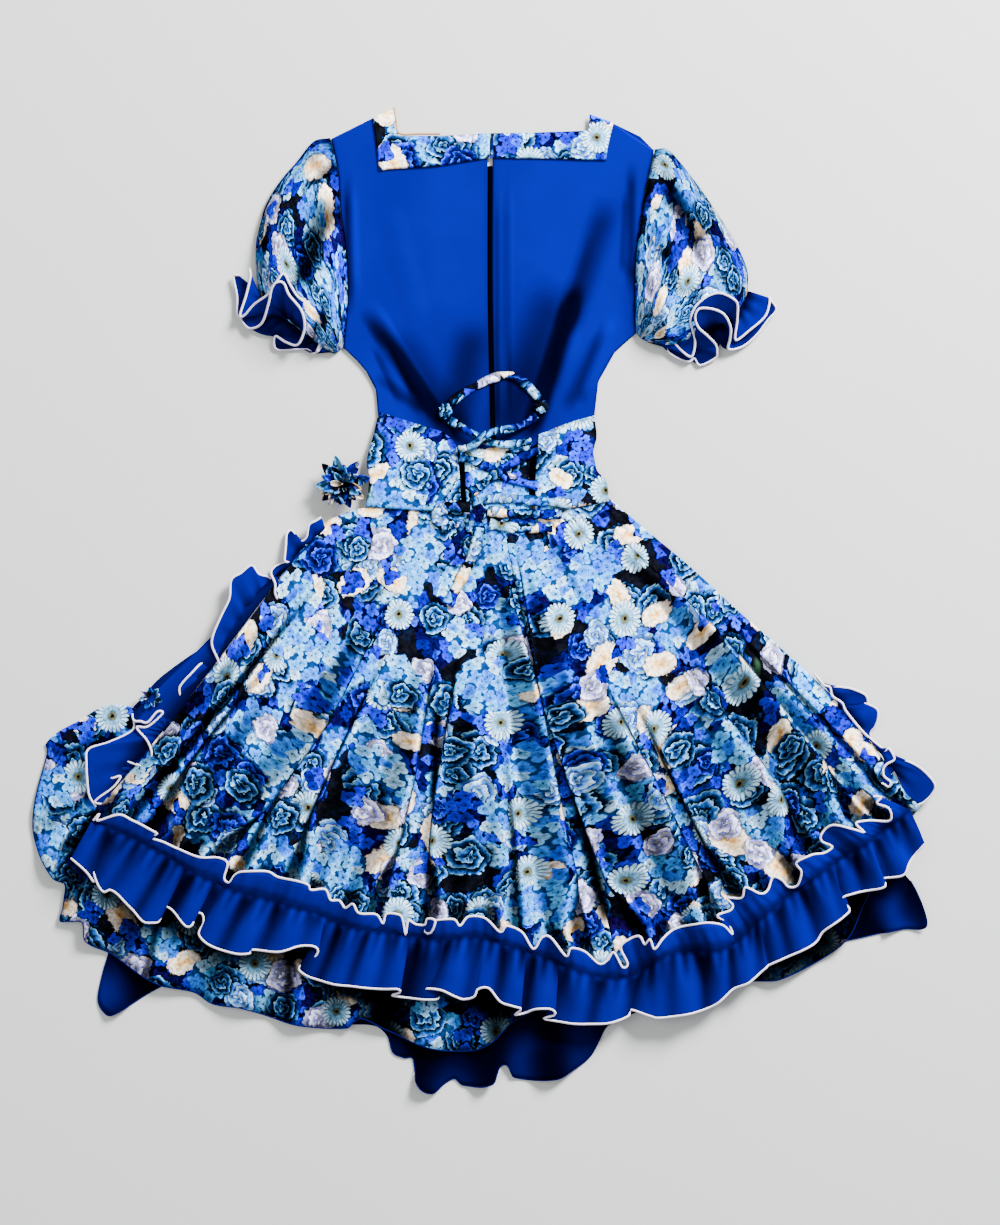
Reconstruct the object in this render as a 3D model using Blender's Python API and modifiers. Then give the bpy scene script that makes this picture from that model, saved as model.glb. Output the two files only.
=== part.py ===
"""Cueca dress laid flat on its front, so that its laced back faces up.

The dress lies in the XY plane with the neck towards +Y and the hem towards -Y. The origin is on the
surface under the middle of the dress. Sizes here are real millimetres; MM turns them into Blender's metres.
The layers of the skirt lie on each other, each one a wall of cloth that is one PITCH above the layer below.
"""

import math
from collections import namedtuple

import bmesh
import bpy
from mathutils import Vector

# Cloth
MM = 0.001
WALL = 1.2
GAP = 0.3
PITCH = WALL + GAP

# Centre of the circle skirts, where the radial folds meet. Angles are from straight down, + to the right.
WAIST = Vector((5.0, 231.0))

# Layers of the skirt, counted up from the surface
SKIRT_FRONT, TIER_FRONT, UNDER_FRONT, UNDER_BACK, TIER_BACK, SKIRT_BACK = range(6)
BODICE_LEVEL = PITCH
WAIST_LEVEL = 2 * PITCH + 0.4

# Colours of the cloths
BLUE = (0.0, 0.06, 0.55)
FLORAL = (0.12, 0.36, 0.72)
DARK = (0.0, 0.01, 0.04)


# Curves and tables

def ease(t):
    """Smooth step from 0 to 1."""
    t = min(max(t, 0.0), 1.0)
    return t * t * (3.0 - 2.0 * t)


def mix(a, b, t):
    return a + (b - a) * t


def curve_value(rows, x, column):
    """Smooth reading of one column of a table at x, which is the table's first column."""
    first = [row[0] for row in rows]
    value = [getattr(row, column) for row in rows]
    x = min(max(x, first[0]), first[-1])
    last = len(rows) - 1
    i = max(k for k in range(last) if first[k] <= x or k == 0)
    span = first[i + 1] - first[i]
    t = (x - first[i]) / span

    def slope(k):
        low, high = max(k - 1, 0), min(k + 1, last)
        return (value[high] - value[low]) / (first[high] - first[low])

    h1 = 2 * t ** 3 - 3 * t ** 2 + 1
    h2 = t ** 3 - 2 * t ** 2 + t
    h3 = t ** 3 - t ** 2
    return h1 * value[i] + h2 * span * slope(i) + (1 - h1) * value[i + 1] + h3 * span * slope(i + 1)


def line(points, smooth=True, steps=10):
    """Curve through the points; the result gives the place at a share from 0 to 1 of its length."""
    knots = [Vector(p) for p in points]
    if smooth and len(knots) > 2:
        ends = [2 * knots[0] - knots[1]] + knots + [2 * knots[-1] - knots[-2]]
        places = []
        for a, b, c, d in zip(ends, ends[1:], ends[2:], ends[3:]):
            for k in range(steps):
                t = k / steps
                places.append(0.5 * ((2 * b) + (c - a) * t + (2 * a - 5 * b + 4 * c - d) * t * t
                                     + (3 * b - a - 3 * c + d) * t ** 3))
        places.append(knots[-1])
    else:
        places = knots
    reach = [0.0]
    for p, q in zip(places, places[1:]):
        reach.append(reach[-1] + (q - p).length)

    def at(t):
        want = min(max(t, 0.0), 1.0) * reach[-1]
        for i in range(1, len(reach)):
            if want <= reach[i] or i == len(reach) - 1:
                part = (want - reach[i - 1]) / max(reach[i] - reach[i - 1], 1e-9)
                return places[i - 1].lerp(places[i], min(part, 1.0))

    return at


def joined(*edges):
    """One edge that runs along smooth curves in turn, with its corners kept."""
    return line([edge(k / 8) for edge in edges for k in range(9)], smooth=False)


def patch(bottom, top, left, right):
    """Flat surface between four edge curves; bottom and top run left to right, the others run up."""
    corners = (bottom(0), bottom(1), top(0), top(1))

    def at(u, v):
        low, high, near, far = bottom(u), top(u), left(v), right(v)
        ruled = low.lerp(high, v) + near.lerp(far, u)
        return ruled - corners[0].lerp(corners[1], u).lerp(corners[2].lerp(corners[3], u), v)

    return at


def polar(angle, radius):
    """Place in the plane at an angle in degrees and a radius from the waist."""
    turn = math.radians(angle)
    return WAIST + radius * Vector((math.sin(turn), -math.cos(turn)))


def to_polar(place):
    away = place - WAIST
    return math.degrees(math.atan2(away.x, -away.y)), away.length


# Objects

def cloth_material(name, colour, rough):
    material = bpy.data.materials.new(name)
    material.use_nodes = True
    shader = material.node_tree.nodes["Principled BSDF"]
    shader.inputs["Base Color"].default_value = (*colour, 1.0)
    shader.inputs["Roughness"].default_value = rough
    shader.inputs["Metallic"].default_value = 0.0
    return material


def keep(name, data, colour, rough=0.6):
    """Object in the dress's collection, with a material of its own."""
    thing = bpy.data.objects.new(name, data)
    DRESS.objects.link(thing)
    data.materials.append(cloth_material(name + "_cloth", colour, rough))
    return thing


def sheet(name, place, across, along, colour, wall=WALL):
    """Grid of cloth: place(u, v) gives a point in mm, and the wall grows upwards from it."""
    grid = bmesh.new()
    bmesh.ops.create_grid(grid, x_segments=across, y_segments=along, size=0.5)
    for vertex in grid.verts:
        vertex.co = place(vertex.co.x + 0.5, vertex.co.y + 0.5) * MM
    if sum(face.normal.z for face in update_normals(grid)) < 0:
        bmesh.ops.reverse_faces(grid, faces=grid.faces[:])
    mesh = bpy.data.meshes.new(name)
    grid.to_mesh(mesh)
    grid.free()
    thing = keep(name, mesh, colour)
    solid = thing.modifiers.new("wall", "SOLIDIFY")
    solid.thickness = wall * MM
    solid.offset = 1.0
    mesh.shade_smooth()
    return thing


def update_normals(grid):
    for face in grid.faces:
        face.normal_update()
    return grid.faces


def flat_piece(name, outline, base, colour):
    """Flat panel cut to an outline, lying at a height."""
    data = bpy.data.curves.new(name, "CURVE")
    data.dimensions = "2D"
    data.fill_mode = "BOTH"
    data.extrude = WALL * MM / 2
    spline = data.splines.new("POLY")
    spline.points.add(len(outline) - 1)
    for point, place in zip(spline.points, outline):
        point.co = (place[0] * MM, place[1] * MM, 0.0, 1.0)
    spline.use_cyclic_u = True
    thing = keep(name, data, colour)
    thing.location.z = (base + WALL / 2) * MM
    return thing


def tube(name, outer, inner, around, along, colour):
    """Hollow sleeve: outer(k, t) and inner(k, t) give the two rings' points at a share t of its length."""
    mesh = bmesh.new()
    rings = []
    for skin in (outer, inner):
        rows = [[mesh.verts.new(skin(k, j / along) * MM) for k in range(around)] for j in range(along + 1)]
        rings.append(rows)
    loops = rings[0] + rings[1][::-1]
    for row, following in zip(loops, loops[1:] + loops[:1]):
        for k in range(around):
            after = (k + 1) % around
            mesh.faces.new((row[k], row[after], following[after], following[k]))
    bmesh.ops.recalc_face_normals(mesh, faces=mesh.faces[:])
    data = bpy.data.meshes.new(name)
    mesh.to_mesh(data)
    mesh.free()
    data.shade_smooth()
    return keep(name, data, colour)


# Heights of the layers

Edge = namedtuple("Edge", "radius left right")
OVERSKIRT_SIDES = [
    Edge(170, -46.5, 51.5),
    Edge(225, -52.3, 51.0),
    Edge(300, -49.3, 50.8),
    Edge(378, -46.8, 50.1),
    Edge(450, -45.2, 49.9),
    Edge(540, -43.9, 49.3),
    Edge(660, -43.4, 46.9),
]
TIER_SIDES = [
    Edge(150, -40.0, 42.0),
    Edge(500, -41.0, 43.0),
    Edge(545, -50.0, 43.0),
    Edge(600, -51.8, 43.0),
    Edge(640, -52.0, 43.0),
    Edge(760, -47.0, 42.0),
]
HIDDEN_LEFT = -38.0
HIDDEN_RIGHT = 43.5
HIDDEN_HEM = 580.0

Hem = namedtuple("Hem", "angle header outer")
OVERSKIRT_HEM = [
    Hem(-43.5, 640, 699),
    Hem(-40.0, 628, 703),
    Hem(-36.0, 618, 706),
    Hem(-29.0, 614, 699),
    Hem(-24.0, 605, 692),
    Hem(-18.5, 600, 667),
    Hem(-15.5, 603, 686),
    Hem(-9.3, 600, 687),
    Hem(-5.0, 600, 676),
    Hem(-1.0, 596, 690),
    Hem(4.0, 612, 702),
    Hem(8.0, 634, 718),
    Hem(12.0, 658, 723),
    Hem(15.0, 661, 730),
    Hem(18.0, 648, 745),
    Hem(24.0, 666, 739),
    Hem(29.0, 650, 744),
    Hem(35.5, 644, 744),
    Hem(40.0, 649, 738),
    Hem(46.0, 656, 712),
]
GATHER = 20.0
UNDER_GATHER = 8.0

Reach = namedtuple("Reach", "angle radius")
TIER_HEM = [
    Reach(-52.0, 640),
    Reach(-49.4, 652),
    Reach(-47.8, 690),
    Reach(-46.0, 720),
    Reach(-42.1, 738),
    Reach(-40.6, 738),
    Reach(-38.8, 771),
    Reach(-34.2, 767),
    Reach(-29.4, 768),
    Reach(-26.2, 758),
    Reach(-21.8, 748),
    Reach(-16.6, 748),
    Reach(-12.3, 734),
    Reach(-6.2, 740),
    Reach(-2.5, 748),
    Reach(0.5, 738),
    Reach(6.0, 700),
    Reach(18.0, 715),
    Reach(24.5, 734),
    Reach(27.0, 746),
    Reach(33.6, 746),
    Reach(38.0, 717),
    Reach(45.0, 690),
]
UNDER_HEM = [
    Reach(-37.0, 750),
    Reach(-34.6, 762),
    Reach(-33.0, 824),
    Reach(-31.4, 828),
    Reach(-29.6, 772),
    Reach(-25.0, 735),
    Reach(-13.0, 735),
    Reach(-8.5, 752),
    Reach(-5.8, 790),
    Reach(-4.0, 799),
    Reach(-2.6, 784),
    Reach(1.4, 764),
    Reach(3.6, 783),
    Reach(6.2, 782),
    Reach(8.2, 770),
    Reach(11.5, 736),
    Reach(20.0, 720),
    Reach(31.0, 728),
    Reach(35.0, 752),
    Reach(39.8, 792),
    Reach(42.0, 715),
]
UNDER_SEAM = 640.0
UNDER_RIGHT = 42.0

# How far past a lower layer's edge the upper ones start to sink, over what run, and their extra loft
HEM_MARGIN = 60.0
HEM_DROP = 120.0
SIDE_MARGIN = 26.0
SIDE_DROP = 70.0
LOFT = {TIER_BACK: 0.7, SKIRT_BACK: 1.3}


def waist_radius(angle):
    """Radius of the seam between the waist and the overskirt."""
    return curve_value(WAIST_SEAM, angle, "radius")


WAIST_SEAM = [
    Reach(-52.8, 222),
    Reach(-50.0, 200),
    Reach(-46.0, 178),
    Reach(-40.0, 163),
    Reach(-20.0, 134),
    Reach(0.0, 126),
    Reach(20.0, 133),
    Reach(40.0, 163),
    Reach(51.5, 180),
]


def side(rows, column):
    return lambda radius: curve_value(rows, radius, column)


def layer_edge(layer, angle):
    """Radius where a layer of the skirt ends."""
    if layer == TIER_BACK:
        return curve_value(TIER_HEM, angle, "radius")
    if layer == UNDER_BACK:
        return curve_value(UNDER_HEM, angle, "radius")
    return HIDDEN_HEM


def layer_span(layer, radius):
    """Angles between which a layer of the skirt lies, at a radius."""
    if layer == TIER_BACK:
        return side(TIER_SIDES, "left")(radius), side(TIER_SIDES, "right")(radius)
    if layer == UNDER_BACK:
        return HIDDEN_LEFT, UNDER_RIGHT
    if layer == SKIRT_FRONT:
        return side(OVERSKIRT_SIDES, "left")(radius), side(OVERSKIRT_SIDES, "right")(radius)
    return HIDDEN_LEFT, HIDDEN_RIGHT


def stack(layer, angle, radius):
    """Height of a layer over the ones below it; it sinks to the surface past their edges."""
    height = LOFT.get(layer, 0.0)
    for below in range(layer):
        left, right = layer_span(below, radius)
        past_hem = (radius - layer_edge(below, angle) - HEM_MARGIN) / HEM_DROP
        past_left = (math.radians(left - angle) * radius - SIDE_MARGIN) / SIDE_DROP
        past_right = (math.radians(angle - right) * radius - SIDE_MARGIN) / SIDE_DROP
        height += PITCH * (1 - ease(past_hem)) * (1 - ease(past_left)) * (1 - ease(past_right))
    return height


Fold = namedtuple("Fold", "waist_angle hem_angle start height half_width")
SKIRT_FOLDS = [
    Fold(-44.0, -41.6, 230, 6.0, 2.3),
    Fold(-39.0, -36.6, 330, 7.5, 2.4),
    Fold(-25.0, -32.0, 210, 9.5, 2.5),
    Fold(-24.0, -26.5, 380, 6.5, 2.2),
    Fold(-19.0, -20.8, 260, 8.0, 2.7),
    Fold(-12.5, -13.6, 240, 10.0, 2.6),
    Fold(-4.0, -4.6, 250, 9.5, 2.8),
    Fold(1.0, 2.2, 330, 6.5, 2.4),
    Fold(5.0, 8.9, 150, 10.5, 2.4),
    Fold(12.5, 17.3, 150, 10.5, 2.2),
    Fold(20.0, 22.6, 280, 9.5, 2.4),
    Fold(28.0, 28.4, 320, 7.5, 2.5),
    Fold(36.0, 34.6, 300, 8.0, 2.5),
    Fold(43.5, 40.4, 180, 9.0, 2.3),
    Fold(47.0, 44.6, 300, 6.5, 1.9),
]
FOLD_RUN = 230.0


def skirt_lift(angle, radius):
    """Height of the overskirt's radial folds over its layer."""
    total = 0.0
    share = (radius - 130.0) / 500.0
    for fold in SKIRT_FOLDS:
        middle = mix(fold.waist_angle, fold.hem_angle, min(share, 1.0))
        away = abs(angle - middle) / fold.half_width
        if away < 1:
            total += fold.height * ease((radius - fold.start) / FOLD_RUN) * (1 - away ** 2) ** 2
    return total


def skirt_top(angle, radius):
    """Underside of the overskirt's back."""
    return stack(SKIRT_BACK, angle, radius) + skirt_lift(angle, radius)


Ridge = namedtuple("Ridge", "x0 y0 x1 y1 height half_width")
BODICE_FOLDS = [
    Ridge(-134, 345, -60, 224, 5.0, 15),
    Ridge(-120, 300, -86, 226, 3.5, 11),
    Ridge(144, 440, 82, 244, 6.0, 16),
    Ridge(152, 330, 114, 226, 4.0, 12),
    Ridge(171, 480, 167, 372, 4.0, 9),
    Ridge(-150, 480, -146, 350, 3.0, 9),
    Ridge(31, 490, 31, 262, 1.6, 7),
    Ridge(-112, 470, -66, 300, 2.5, 14),
]


def ridge_sum(rows, x, y):
    """Height of soft folds, each along a straight run and fading out at its ends."""
    total = 0.0
    for row in rows:
        start = Vector((row.x0, row.y0))
        run = Vector((row.x1, row.y1)) - start
        away = Vector((x, y)) - start
        share = away.dot(run) / run.length_squared
        off = abs(away.cross(run)) / run.length / row.half_width
        if 0 < share < 1 and off < 1:
            ends = ease(share / 0.25) * ease((1 - share) / 0.2)
            total += row.height * ends * (1 - off ** 2) ** 2
    return total


def back_rise(y):
    """Climb of the back from the bodice, on one layer, to the top of the stacked skirts."""
    return (SKIRT_BACK * PITCH + LOFT[SKIRT_BACK] - BODICE_LEVEL) * ease((205.0 - y) / 81.0)


def bodice_height(x, y):
    return BODICE_LEVEL + back_rise(y) + ridge_sum(BODICE_FOLDS, x, y)


def lifted(plane, height):
    """Surface point from a place in the plane and a height function of x and y."""
    return Vector((plane.x, plane.y, height(plane.x, plane.y)))


# Outlines of the bodice, from the neck down

ARMHOLE_LEFT = [(-158, 291), (-153, 346), (-155, 401), (-161, 447), (-164, 493), (-172, 531)]
ARMHOLE_RIGHT = [(178, 308), (177, 335), (178, 388), (183, 432), (190, 476), (199, 518)]
SIDE_LEFT = [(-118, 211), (-121, 243), (-132, 264), (-143, 277), (-158, 291)]
SIDE_RIGHT = [(130, 208), (135, 252), (154, 286), (178, 308)]
ZIP_HALF = 2.6


def bodice_back_left():
    edge = ZIP_HALF + GAP
    bottom = line([(-118, 211), (-80, 199), (-45, 187), (-26, 171), (14 - edge, 169)])
    top = line([(-172, 531), (-124, 555), (-113, 503), (-106, 501), (10.4 - edge, 504)], smooth=False)
    left = joined(line(SIDE_LEFT), line(ARMHOLE_LEFT))
    right = line([(14 - edge, 169), (10.4 - edge, 346), (10.4 - edge, 504)])
    form = patch(bottom, top, left, right)
    sheet("bodice_back_left", lambda u, v: lifted(form(u, v), bodice_height), 9, 11, BLUE)


def bodice_back_right():
    edge = ZIP_HALF + GAP
    bottom = line([(14 + edge, 169), (56, 176), (68, 186), (80, 192), (130, 208)])
    top = line([(10.4 + edge, 504), (133, 503), (140, 505), (152, 549), (199, 518)], smooth=False)
    left = line([(14 + edge, 169), (10.4 + edge, 346), (10.4 + edge, 504)])
    right = joined(line(SIDE_RIGHT), line(ARMHOLE_RIGHT))
    form = patch(bottom, top, left, right)
    sheet("bodice_back_right", lambda u, v: lifted(form(u, v), bodice_height), 9, 11, BLUE)


def outline_of(*edges):
    """Outline through edges, each a list of points in order."""
    points = []
    for edge in edges:
        points.extend(edge)
    return points


def bodice_front():
    neck = [(125, 540), (118, 440), (-90, 440), (-99, 556)]
    edge = outline_of(SIDE_LEFT[:-1], ARMHOLE_LEFT, neck[::-1], [(152, 549), (183, 534)],
                      ARMHOLE_RIGHT[::-1], SIDE_RIGHT[::-1][1:])
    flat_piece("bodice_front", edge, 0.0, BLUE)


def neck_bands():
    left = [(-124, 555), (-117, 560), (-99, 565), (-95, 534), (-47, 534), (9.9, 537), (9.9, 509),
            (-53, 499), (-104, 496), (-117, 494), (-120, 524)]
    right = [(10.9, 537), (68, 538), (123, 540), (125, 559), (135, 558), (152, 549), (145, 519),
             (144, 506), (79, 508), (10.9, 509)]
    flat_piece("neck_band_left", left, WAIST_LEVEL, FLORAL)
    flat_piece("neck_band_right", right, WAIST_LEVEL, FLORAL)


def zip_strip():
    middle = line([(14, 172), (10.4, 346), (10.4, 500)])

    def place(u, v):
        spot = middle(v)
        x = spot.x + mix(-ZIP_HALF + GAP / 2, ZIP_HALF - GAP / 2, u)
        return Vector((x, spot.y, BODICE_LEVEL + back_rise(spot.y)))

    sheet("zip", place, 1, 8, DARK)


# Waist

WAIST_LEFT_SIDE = [(-132, 108), (-128, 139), (-131, 160), (-125, 185), (-116, 217)]
WAIST_RIGHT_SIDE = [(147, 114), (144, 137), (133, 150), (129, 171), (133, 189), (130, 213)]


def waist_height(x, y):
    return WAIST_LEVEL + back_rise(y)


def waist_pieces():
    left = patch(line([(-132, 108), (-78, 104), (-22, 102)]), line([(-116, 217), (-79, 205), (-43, 194)]),
                 line(WAIST_LEFT_SIDE), line([(-22, 102), (-25, 151), (-29, 179), (-43, 194)]))
    right = patch(line([(62, 103), (105, 107), (147, 114)]), line([(66, 191), (102, 205), (130, 213)]),
                  line([(62, 103), (62, 133), (64, 162), (66, 191)]), line(WAIST_RIGHT_SIDE))
    centre = patch(line([(-16, 102), (20, 101), (55, 103)]), line([(-19, 174), (20, 176), (57, 179)]),
                   line([(-16, 102), (-18, 140), (-19, 174)]), line([(55, 103), (55, 140), (57, 179)]))
    sheet("waist_back_left", lambda u, v: lifted(left(u, v), waist_height), 6, 7, FLORAL)
    sheet("waist_back_right", lambda u, v: lifted(right(u, v), waist_height), 6, 7, FLORAL)
    sheet("waist_back_centre", lambda u, v: lifted(centre(u, v), waist_height), 4, 7, FLORAL)
    front = outline_of([(x, y) for x, y in WAIST_LEFT_SIDE[:-1]], [(-119, 210.5), (128, 207.5)],
                       WAIST_RIGHT_SIDE[-2::-1])
    flat_piece("waist_front", front, 0.0, FLORAL)


# Lacing and bow

Tie = namedtuple("Tie", "name width points")
TIES = [
    Tie("lace_loop", 9, [(-35, 228, 0), (-19, 239, 0), (-5, 247, 0), (14, 256, 0), (33, 259, 0),
                         (50, 250, 0), (62, 238, 0), (67, 232, 0)]),
    Tie("lace_cross_a", 8, [(-36, 208, 0), (-19, 197, 0), (0, 186, 0), (14, 181, 0), (33, 179, 0),
                            (58, 183, 0)]),
    Tie("lace_cross_b", 8, [(64, 213, 0), (52, 204, 0), (33, 197, 0), (18, 195, 2), (2, 188, 3),
                            (-10, 178, 2), (-26, 173, 0)]),
    Tie("lace_cross_c", 9, [(-24, 165, 0), (-9, 161, 0), (10, 152, 0), (25, 144, 0), (42, 137, 0),
                            (66, 131, 0)]),
    Tie("lace_cross_d", 9, [(66, 172, 0), (50, 166, 0), (36, 158, 2), (19, 147, 3), (4, 135, 2),
                            (-10, 124, 0)]),
    Tie("lace_waist_upper", 10, [(6, 117, 0), (36, 117, 0), (68, 114, 0), (104, 111, 0)]),
    Tie("lace_waist_lower", 10, [(8, 103, 0), (34, 100, 0), (64, 99, 0), (92, 99, 0)]),
    Tie("bow_loop_left", 12, [(-12, 106, 0), (-30, 108, 0), (-47, 104, 0), (-52, 95, 0), (-42, 87, 0),
                              (-26, 90, 0)]),
    Tie("bow_loop_right", 11, [(10, 88, 0), (34, 84, 0), (60, 84, 0), (82, 85, 0)]),
    Tie("bow_tail_short", 13, [(-12, 82, 0), (-22, 72, 0), (-34, 57, 0), (-48, 38, 0)]),
    Tie("bow_tail_long", 12, [(-2, 84, 2.4), (-6, 62, 1.6), (-16, 38, 0), (-38, -4, 0)]),
]
KNOTS = [
    ("knot_left", -41, 218, 7.5, 8.5),
    ("knot_right", 70, 223, 8.0, 7.0),
    ("bow_knot", -2, 100, 8.0, 11.0),
]
TIE_WALL = 1.6
KNOT_HEIGHT = 5.0
LACE_GAP = 0.5


def lace_height(x, y):
    """Height of the ties over what they lie on: bodice, then waist, then skirt."""
    bodice = bodice_height(x, y)
    skirt = skirt_top(*to_polar(Vector((x, y))))
    waist = max(waist_height(x, y), bodice, skirt)
    if y > 150:
        below = mix(waist, bodice, ease((y - 196.0) / 10.0))
    else:
        below = mix(skirt, waist, ease((y - 84.0) / 10.0))
    return below + PITCH + LACE_GAP


def ties():
    for tie in TIES:
        centre = line([Vector(p) for p in tie.points])
        pieces = max(5, round(sum((Vector(a) - Vector(b)).length
                                  for a, b in zip(tie.points, tie.points[1:])) / 14))

        def place(u, v):
            here = centre(u)
            ahead = centre(u + 0.02) - centre(u - 0.02)
            normal = Vector((-ahead.y, ahead.x)).normalized()
            spot = here.xy + normal * (v - 0.5) * tie.width
            return Vector((spot.x, spot.y, lace_height(here.x, here.y) + here.z))

        sheet(tie.name, place, pieces, 1, FLORAL, TIE_WALL)
    for name, x, y, half_x, half_y in KNOTS:
        base = lace_height(x, y)
        ball = bmesh.new()
        bmesh.ops.create_uvsphere(ball, u_segments=8, v_segments=6, radius=1.0)
        for vertex in ball.verts:
            vertex.co = Vector((x + vertex.co.x * half_x, y + vertex.co.y * half_y,
                                base + KNOT_HEIGHT / 2 * (1 + vertex.co.z))) * MM
        mesh = bpy.data.meshes.new(name)
        ball.to_mesh(mesh)
        ball.free()
        mesh.shade_smooth()
        keep(name, mesh, FLORAL)


# Sleeves

SEAM_ROOM = 0.9
Sleeve = namedtuple("Sleeve", "name armhole underarm outside cuff")
SLEEVES = [
    Sleeve("left",
           [(x - SEAM_ROOM, y) for x, y in ARMHOLE_LEFT],
           [(-158 - SEAM_ROOM, 291), (-163, 288), (-168, 285)],
           [(-172 - SEAM_ROOM, 531), (-192, 527), (-210, 505), (-229, 483), (-246, 455), (-256, 421),
            (-258, 390), (-255, 358)],
           [(-168, 285), (-183, 293), (-210, 314), (-240, 337), (-255, 358)]),
    Sleeve("right",
           [(x + SEAM_ROOM, y) for x, y in ARMHOLE_RIGHT],
           [(178 + SEAM_ROOM, 308), (185, 302), (192, 298)],
           [(199 + SEAM_ROOM, 518), (214, 518), (231, 500), (253, 471), (274, 440), (293, 409),
            (305, 380), (306, 354)],
           [(192, 298), (220, 295), (258, 309), (292, 332), (306, 354)]),
]
SLEEVE_EDGE = 4.6
PUFF = 30.0
CUFF_HEIGHT = 12.0
CUFF_RUFFLE_BASE = 5.6
TOP_SPANS = 12
UNDER_SPANS = 6


def sleeve_top(t, w):
    """Height of the puffed upper side, t from armhole to cuff and w from underarm to the outer edge."""
    peak = SLEEVE_EDGE + 1.0
    peak += (CUFF_HEIGHT - peak) * ease((t - 0.5) / 0.5)
    peak += (PUFF - 8.0) * math.sin(math.pi * min(max(t, 0.0), 1.0)) ** 0.8
    crown = max(1 - abs(2 * w - 1) ** 2.4, 0.0) ** 0.8
    gathers = 1 + 0.10 * math.cos(2 * math.pi * 5.5 * w) * math.cos(math.pi * t) ** 2
    return SLEEVE_EDGE + (peak - SLEEVE_EDGE) * crown * gathers


def sleeves():
    for sleeve in SLEEVES:
        form = patch(line(sleeve.underarm), line(sleeve.outside), line(sleeve.armhole), line(sleeve.cuff))

        def skin(k, t, inset):
            width = 110.0 + 120.0 * (1 - t)
            if k <= TOP_SPANS:
                w = 0.5 - 0.5 * math.cos(math.pi * k / TOP_SPANS)
                height = sleeve_top(t, w) - inset
            else:
                w = 1 - (k - TOP_SPANS - 1) / UNDER_SPANS
                height = inset
            share = inset / width + w * (1 - 2 * inset / width)
            spot = form(t, share)
            return Vector((spot.x, spot.y, height))

        tube("sleeve_" + sleeve.name, lambda k, t: skin(k, t, 0.0), lambda k, t: skin(k, t, WALL),
             TOP_SPANS + UNDER_SPANS + 1, 7, FLORAL)


CuffRuffle = namedtuple("CuffRuffle", "name root outer waves")
CUFF_RUFFLES = [
    CuffRuffle("left",
               [(-257.0, 356.8), (-241.2, 335.6), (-210.5, 313.4), (-183.4, 292.4), (-168.2, 284.3)],
               [(-263, 383), (-284, 375), (-283, 335), (-264, 314), (-243, 302), (-232, 291), (-212, 290),
                (-188, 282), (-172, 279)], 8),
    CuffRuffle("right",
               [(191.9, 297), (220, 293.6), (258.6, 307.6), (293, 331), (307.2, 354), (307.6, 360)],
               [(188, 288), (212, 284), (230, 268), (254, 270), (272, 284), (300, 292), (322, 308),
                (342, 330), (330, 350), (308, 362)], 8),
]


def waved(s, waves, shift=0.0):
    """Phase of a ruffle's waves along its length, with uneven spacing."""
    return waves * s + shift + 0.16 * math.sin(14.5 * s + shift) + 0.09 * math.sin(31.0 * s + 2.0)


def bump(phase):
    """Height of a wave from 0 to 1."""
    return 0.5 - 0.5 * math.cos(2 * math.pi * phase)


def frill(name, root, outer, base, waves, rise, sway, across, along, colour=BLUE, shift=0.0):
    """Gathered strip from a root line to an outer line; waves grow towards the outer edge."""
    length = sum((outer((k + 1) / 40) - outer(k / 40)).length for k in range(40))

    def place(u, v):
        phase = waved(u, waves, shift)
        slide = sway / length * v * math.sin(2 * math.pi * phase) * ease(u / 0.05) * ease((1 - u) / 0.05)
        spot = root(u).lerp(outer(u + slide), v)
        size = 0.8 + 0.3 * math.sin(19.0 * u + 1.0 + shift)
        return Vector((spot.x, spot.y, base(spot, u, v) + rise * v * size * bump(phase)))

    return sheet(name, place, across, along, colour)


def cuff_ruffles():
    for cuff in CUFF_RUFFLES:
        root = line(cuff.root)
        outer = line(cuff.outer)

        def upper(spot, u, v):
            lift = CUFF_HEIGHT * (0.35 + 0.5 * math.sin(math.pi * min(max(u, 0.0), 1.0)) ** 0.6)
            return mix(lift, CUFF_RUFFLE_BASE, ease(v))

        name = "sleeve_ruffle_" + cuff.name
        frill(name, root, outer, upper, cuff.waves, 13.0, 3.0, cuff.waves * 4, 3)
        inner = lambda t: root(t).lerp(outer(t), 0.94)
        frill(name + "_under", root, inner, lambda spot, u, v: 0.0, 4, 0.0, 0.0, 14, 1)


# Skirts

def fan(name, sides, top, hem, height, across, stops, colour):
    """Panel of a circle skirt between two side angles; stops are its rows, from waist 0 to hem 1."""
    rows = len(stops) - 1

    def place(u, v):
        share = stops[round(v * rows)]
        angle = 0.0
        for _ in range(4):
            radius = mix(top(angle), hem(angle), share)
            angle = mix(*sides(radius), u)
        spot = polar(angle, radius)
        return Vector((spot.x, spot.y, height(angle, radius)))

    return sheet(name, place, across, rows, colour)


def even(rows):
    return [k / rows for k in range(rows + 1)]


UNDER_LEFT = -36.5
TIER_WAVES = 15
TIER_RISE = 6.5
TIER_ROWS = (0.0, 0.5, 0.62, 0.72, 0.81, 0.88, 0.94, 1.0)
UNDER_WAVES = 13
UNDER_RISE = 9.0
SEAM_START = 8.0
SEAM_END = 13.2
SEAM_HALF = 0.25
SKIRT_ROWS = 6


def seam_angle(radius):
    """Angle of the centre-back seam of the overskirt, which leans to the right."""
    return mix(SEAM_START, SEAM_END, min((radius - 120.0) / 400.0, 1.0))


def over_sides(radius):
    return side(OVERSKIRT_SIDES, "left")(radius), side(OVERSKIRT_SIDES, "right")(radius)


def over_hem(angle):
    return curve_value(OVERSKIRT_HEM, angle, "header") + GATHER + UNDER_GATHER


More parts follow.
